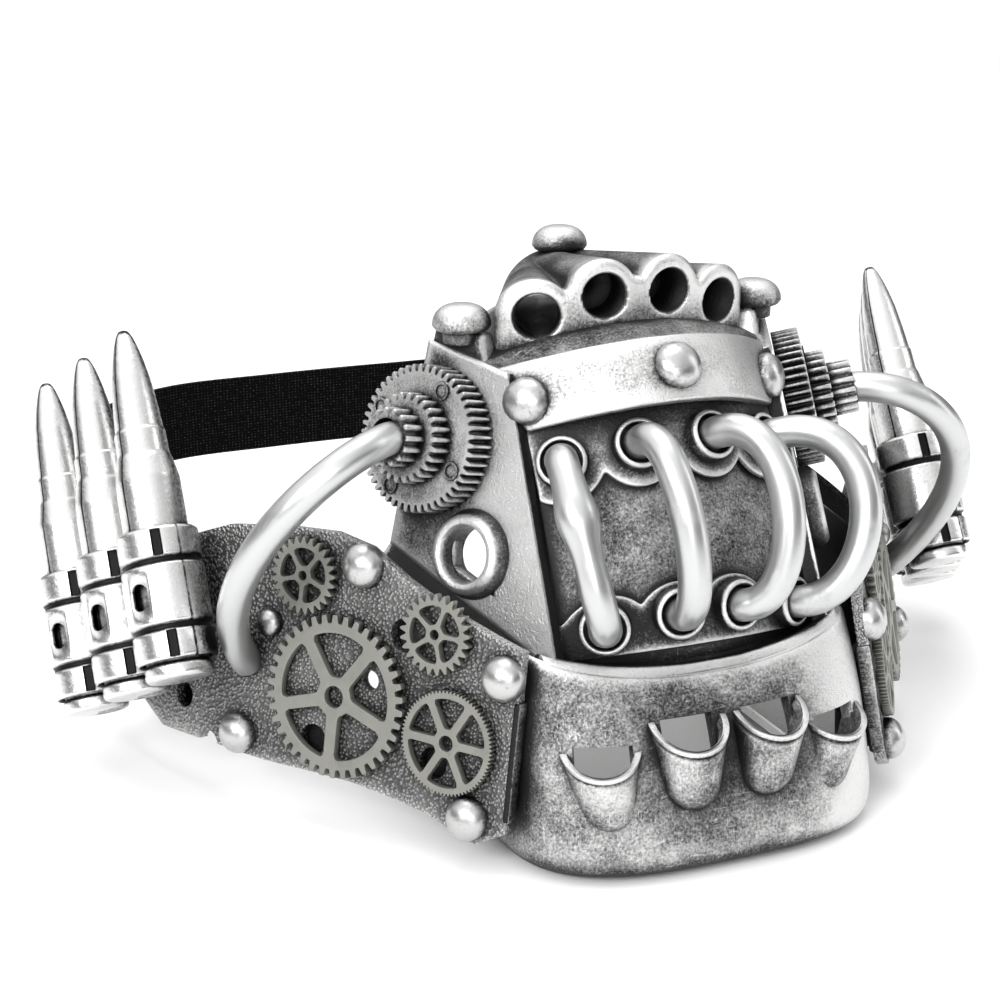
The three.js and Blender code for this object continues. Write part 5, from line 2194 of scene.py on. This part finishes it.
@dataclass
class CartridgeBelt:
    """Three linked cartridges on each side."""

    tip: Triple = (82.0, -14.0, 47.0)
    step: Triple = (5.3, 12.9, -7.5)
    lean: float = 30.0
    count: int = 3
    length: float = 66.0
    case: tuple = (
        (0.01, 0.0), (5.6, 0.0), (6.2, 0.6), (6.2, 2.4), (5.6, 2.9), (5.6, 3.3), (5.9, 3.8),
        (5.9, 37.0), (5.1, 41.0), (4.8, 41.8), (4.7, 46.2), (4.45, 46.5), (4.4, 47.2),
        (4.15, 51.0), (3.6, 56.2), (2.9, 60.0), (2.2, 62.8), (1.55, 64.8), (0.9, 65.9), (0.01, 66.1),
    )
    bands: tuple = (
        (6.9, 3.2), (7.4, 3.6), (7.4, 8.2), (6.8, 8.7), (6.8, 9.4), (7.6, 9.9),
        (7.6, 20.3), (6.8, 20.8), (6.8, 21.5), (7.5, 22.0), (7.5, 26.8), (6.9, 27.3),
    )
    bore: float = 6.45
    reach: float = 7.6
    window: Triple = (15.0, 2.5, 52.0)
    window_squeeze: float = 1.1
    slot_levels: Pair = (5.9, 24.3)
    slot_turn: float = -14.0
    slot_half: Pair = (0.9, 2.7)
    slot_depth: float = 0.5
    tab_reach: Pair = (6.9, 8.45)
    tab_height: Pair = (11.0, 19.0)
    tab_width: float = 4.8
    seam_turn: float = 18.0
    # Painted shade round one side of each case and link: start and full angles in degrees, and depth.
    stain: Triple = (12.0, 55.0, 0.34)
    mould_turn: float = -62.0
    mould_from: float = 24.0
    swing: float = 3.0
    right_shift: float = -1.2
    # Painted shade that darkens the right-hand links all over.
    right_soot: float = 0.08
    # Share of that painted shade on the right-hand belt.
    right_stain: float = 0.45

    def sleeve(self, side: Side) -> Shape:
        """Three bands round the case: a profile turned about the axis.

        An oval window is left out, two slots are pressed into the outer bands, and a dark seam
        runs up one side. Shade is painted into the grooves between the bands and into the slots.

        Args:
            side: The side of the mask.

        Returns:
            The sleeve's outer sheet.
        """
        profile = rounded(self.bands, 0.35, 4)
        angle = np.linspace(-np.pi, np.pi, 169)
        height = np.interp(even(130), even(len(profile)), profile[:, 1])
        radius = np.interp(height, profile[:, 1], profile[:, 0])
        grid_a, grid_h = np.meshgrid(angle, height)
        along = self.reach * (grid_a - math.radians(self.slot_turn))
        level = np.abs(grid_h[..., None] - np.array(self.slot_levels)).min(axis=-1)
        inside = np.maximum(np.abs(along) / self.slot_half[0], level / self.slot_half[1])
        slot = ease(-inside, -1.0, -0.75)
        grid_r = radius[:, None] - self.slot_depth * slot
        points = np.stack([grid_r * np.sin(grid_a), -grid_r * np.cos(grid_a), grid_h], -1)
        level, hole, turn = self.window
        squeeze = self.reach * self.window_squeeze
        plan = np.stack([squeeze * grid_a, grid_h], -1)
        keep = pierce(points, plan, [(squeeze * side.value * math.radians(turn), level, hole)])
        seam = np.exp(-((self.reach * (grid_a - math.radians(self.seam_turn)) / 0.25) ** 2))
        # Painted shade in the grooves between the bands and in the slots, the real dark seam, and painted shade
        # round one side.
        soot = np.exp(-(radius[:, None] - 6.8) / 0.12) + slot + 0.5 * seam + self.stained(grid_a, side)
        # Painted shade: the right-hand links are darker.
        soot += self.right_soot if side is Side.RIGHT else 0.0
        return Shape.of_grid(points, keep, {"soot": np.minimum(soot, 1)})

    def stained(self, angle: Array, side: Side) -> Array:
        """Painted shade from one angle round the case, full at another and fainter on the right.

        Args:
            angle: Angles round the case, in radians.
            side: The side of the mask.

        Returns:
            The wash's depth.
        """
        start, full, depth = self.stain
        share = self.right_stain if side is Side.RIGHT else 1.0
        return share * depth * ease(np.degrees(angle), start, full)

    def tab(self, side: Side) -> Shape:
        """The plate that joins a link to the next, straight between the two sleeves.

        Args:
            side: The side of the mask.

        Returns:
            The tab, on the cartridge's axis.
        """
        across, back, down = np.array(self.step) + vec(self.swing if side is Side.RIGHT else 0.0, 0, 0)
        heading = unit(vec(side.value * across, math.hypot(back, down), 0))
        beside = np.cross(vec(0, 0, 1), heading)

        def surface(s: Array, t: Array) -> Array:
            """From sleeve to sleeve by s and up the links by t.

            Args:
                s: Share out.
                t: Share up.

            Returns:
                Points.
            """
            reach = lerp(*self.tab_reach, s)[..., None]
            height = lerp(*self.tab_height, t)[..., None]
            return heading * reach - beside * self.tab_width / 2 + vec(0, 0, 1) * height

        return wall(surface, 4, 12, 0, self.tab_width, 0.2)

    def lashed(self, shape: Shape, side: Side, number: int) -> Shape:
        """A shape drawn on the cartridge's axis, leant back and set along the belt.

        On the right the belt swings out.

        Args:
            shape: The shape, on +Z.
            side: The side of the mask.
            number: Its place along the belt.

        Returns:
            The shape in its place.
        """
        lean = math.radians(self.lean)
        axis = vec(0, math.sin(lean), math.cos(lean))
        turn = np.stack([vec(1, 0, 0), np.cross(axis, vec(1, 0, 0)), axis], axis=1)
        aside = self.right_shift + number * self.swing if side is Side.RIGHT else 0.0
        tip = (np.array(self.tip) + number * np.array(self.step) + vec(aside, 0, 0)) * [side.value, 1, 1]
        return shape.moved(turn, tip - self.length * axis)

    def cartridge(self, side: Side) -> Shape:
        """The case, neck and ogive, with painted shade where the link's window looks in.

        Args:
            side: The side of the mask.

        Returns:
            The cartridge, on +Z.
        """
        profile = rounded(self.case, 0.5, 4)
        shape = turned(profile, 128)
        level, hole, turn = self.window
        angle = np.arctan2(shape.points[:, 0], -shape.points[:, 1])
        squeeze = self.reach * self.window_squeeze
        away = np.hypot(squeeze * (angle - side.value * math.radians(turn)), shape.points[:, 2] - level)
        height = shape.points[:, 2]
        aside = self.reach * (angle - math.radians(self.mould_turn))
        mould = np.exp(-((aside / 0.3) ** 2)) * (height > self.mould_from)
        smudge = 0.5 * ease(height, self.length - 1.6, self.length)
        window_shade = ease(-away, -1.8 * hole, -hole)
        # Painted shade at the window and round one side, a real mould seam, and a darker tip.
        shape.marks["soot"] = window_shade + self.stained(angle, side) + 0.9 * mould + smudge
        return shape

    def build(self, finishes: Finishes) -> None:
        """Makes the cartridges and their links.

        Args:
            finishes: The materials.
        """
        for side in Side:
            for number in range(self.count):
                tag = f"{number + 1}_{side.word}"
                round_shape = self.lashed(self.cartridge(side), side, number)
                piece = make_object(f"round_{tag}", round_shape, finishes.bright)
                settle(piece, Slot.BRIGHT, f"cartridge_{tag}")
                belt = self.lashed(self.sleeve(side), side, number)
                link = make_object(f"belt_link_{tag}", belt, finishes.bright, self.reach - self.bore - 0.4)
                settle(link, Slot.BRIGHT, f"link_{tag}")
                if number < self.count - 1:
                    tab = self.lashed(self.tab(side), side, number)
                    joint = make_object(f"belt_tab_{tag}", tab, finishes.bright, 0, 0.3)
                    settle(joint, Slot.BRIGHT)


@dataclass
class HeadStrap:
    """The elastic strap, one loop from plate to plate."""

    cheek: CheekFrame
    width: float = 20.0
    thick: float = 1.5
    middle: float = -8.5
    anchors: tuple = (54.0, 60.0, 66.0, 72.0)
    anchor_v: float = 13.0
    dip: float = 6.5
    plan: tuple = ((77.0, -3.0), (74.5, 40.0), (70.0, 80.0), (62.0, 106.0), (43.0, 119.5), (16.0, 122.0))

    def path(self) -> Array:
        """The middle line, from behind the right plate round the back to the left plate.

        Returns:
            Points of the middle line.
        """
        behind = self.cheek.face - self.cheek.thick - self.thick / 2 - 4 * SEAT
        tied = self.cheek.at(np.array(self.anchors), self.anchor_v, behind)[:, :2]
        right = np.concatenate([tied, np.array(self.plan)])
        loop = np.concatenate([right, right[::-1] * [-1, 1]])
        path = route(np.column_stack([loop, np.full(len(loop), self.middle)]), 260)
        share = even(len(path))
        path[:, 2] -= self.dip * (1 - ease(np.minimum(share, 1 - share), 0.04, 0.2))
        return path

    def band(self) -> tuple[Shape, float]:
        """The strap's outer face and its length.

        Each section stands upright, but leans with the cheek plate near the ends.

        Returns:
            The outer face, and the length in millimetres.
        """
        path = self.path()
        length = run_length(path)
        share = length / length[-1]
        near_end = 1 - ease(np.minimum(share, 1 - share), 0.08, 0.24)
        lean = math.radians(self.cheek.tilt) * near_end
        yaw = math.radians(self.cheek.yaw)
        away = np.where(share < 0.5, -1, 1)
        up = np.stack([away * math.cos(yaw) * np.sin(lean), math.sin(yaw) * np.sin(lean), np.cos(lean)], -1)
        out = unit(np.cross(np.gradient(path, axis=0), up))
        across = np.linspace(-0.5, 0.5, 25)
        points = path[None] + across[:, None, None] * self.width * up[None] + out[None] * self.thick / 2
        uv = np.stack(np.broadcast_arrays(length[None, :], (across * self.width)[:, None]), -1)
        return Shape.of_grid(points, uv=uv), float(length[-1])

    def build(self, finishes: Finishes) -> None:
        """Args:
            finishes: The materials.
        """
        shape, length = self.band()
        strap = make_object("elastic_strap", shape, finishes.elastic, self.thick, 0.3)
        flat = (self.width * METRE, length * METRE)
        LOG.info("the strap is %.0f mm long", length)
        settle(strap, Slot.ELASTIC, "strap")


@dataclass
class Studio:
    """Floor, backdrop, light and camera at the photograph's angle."""

    eye: Triple = (-154.9, -368.6, 126.5)
    lens: float = 70.2
    sensor: float = 36.0
    floor_half: float = 1.7
    backdrop_height: float = 3.0
    dome: float = 1.26
    horizon: float = 0.03
    dome_from: Pair = (0.2, 0.5)
    shade: float = 0.55
    viewer_right: Pair = (0.92, 0.39)
    aim: Triple = (0.0, -0.05, 0.04)
    lamps: tuple = (
        ("overhead_softbox", (0.0, 0.1, 0.95), (0.8, 0.6), 3.0),
        ("left_softbox", (-0.85, -0.6, 0.6), (0.5, 0.5), 6.5),
        ("front_softbox", (-0.3, -0.95, 0.3), (0.5, 0.4), 2.0),
        ("right_strip", (0.85, -0.35, 0.35), (0.2, 0.8), 1.5),
    )

    def floor(self) -> None:
        """A wide level sheet just under the chin."""
        half = self.floor_half / METRE

        def surface(s: Array, t: Array) -> Array:
            """A flat square."""
            return np.stack([half * (2 * s - 1), half * (2 * t - 1), np.full(s.shape, FLOOR_LEVEL)], -1)

        make_object("studio_floor", sheet(surface, even(3), even(3)), PaleFloor().material())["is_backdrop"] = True

    def backdrop(self) -> None:
        """A white paper drum round the floor, which only the camera sees."""
        half = self.floor_half / METRE
        profile = np.array([(half, FLOOR_LEVEL), (half, self.backdrop_height / METRE)])
        drum = make_object("studio_backdrop", turned(profile, 64).flipped(), WhitePaper().material())
        for ray in ("diffuse", "glossy", "transmission", "shadow", "volume_scatter"):
            setattr(drum, f"visible_{ray}", False)
        drum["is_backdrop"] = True

    def camera(self) -> None:
        """A camera with the photograph's eye and lens, looking at the datum."""
        data = bpy.data.cameras.new("photo_camera")
        data.lens = self.lens
        data.sensor_width = self.sensor
        data.clip_start = 0.01
        camera = bpy.data.objects.new("photo_camera", data)
        target = Vector(DATUM * METRE)
        camera.location = Vector((np.array(self.eye) + DATUM) * METRE)
        camera.rotation_euler = (target - camera.location).to_track_quat("-Z", "Y").to_euler()
        bpy.context.scene.collection.objects.link(camera)
        bpy.context.scene.camera = camera

    def lamp(self, name: str, place: Sequence[float], size: Sequence[float], watts: float) -> None:
        """A rectangular soft light aimed at the mask.

        Args:
            name: The light's name.
            place: Where it stands, in metres from the mask's middle.
            size: Its two sides, in metres.
            watts: Its power.
        """
        data = bpy.data.lights.new(name, "AREA")
        data.shape = "RECTANGLE"
        data.size, data.size_y = size
        data.energy = watts
        light = bpy.data.objects.new(name, data)
        light.location = Vector(place)
        light.rotation_euler = (Vector(self.aim) - light.location).to_track_quat("-Z", "Y").to_euler()
        bpy.context.scene.collection.objects.link(light)

    def sky(self) -> None:
        """A white dome overhead and a dark room low down, which gives the silver its contrast."""
        world = bpy.data.worlds.new("white_dome")
        bpy.context.scene.world = world
        world.use_nodes = True
        room = NodeTree(world.node_tree)
        x, y, height = room.parts(room.wire(room.add("ShaderNodeTexCoord"), "Generated"))
        along, back = self.viewer_right
        right = (along * x - back * y).between(0.1, 0.9)
        lit = height.between(*self.dome_from) * (1.0 - self.shade * right)
        colour = room.mix(lit, grey(self.horizon), grey(self.dome))
        room.feed(world.node_tree.nodes["Background"].inputs["Color"], colour)

    def build(self) -> None:
        """Sets up the whole studio."""
        bpy.context.scene.view_settings.view_transform = "Standard"
        self.camera()
        self.floor()
        self.backdrop()
        self.sky()
        for lamp in self.lamps:
            self.lamp(*lamp)


def main(cad_box: object) -> None:
    """Builds the mask piece by piece.

    Args:
        cad_box: The frame's own bounds, from straight after loading; not used.
    """
    logging.basicConfig(level=logging.INFO, format="%(name)s: %(message)s")
    studio = Studio()
    studio.build()
    finishes = Finishes()
    bay, cheek = Bay(), CheekFrame()
    muzzle = Muzzle(bay, cheek)
    assemblies = (
        muzzle,
        ChinCup(bay, cheek),
        BarrelBlock(),
        BrowBand(),
        MushroomBolts(),
        TubeBay(bay),
        SideWorks(muzzle, cheek),
        CheekPlates(cheek),
        CartridgeBelt(),
        HeadStrap(cheek),
    )
    for assembly in assemblies:
        assembly.build(finishes)
        LOG.info("%s done", type(assembly).__name__)


if __name__ == "__main__":
    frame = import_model()
    main(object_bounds())
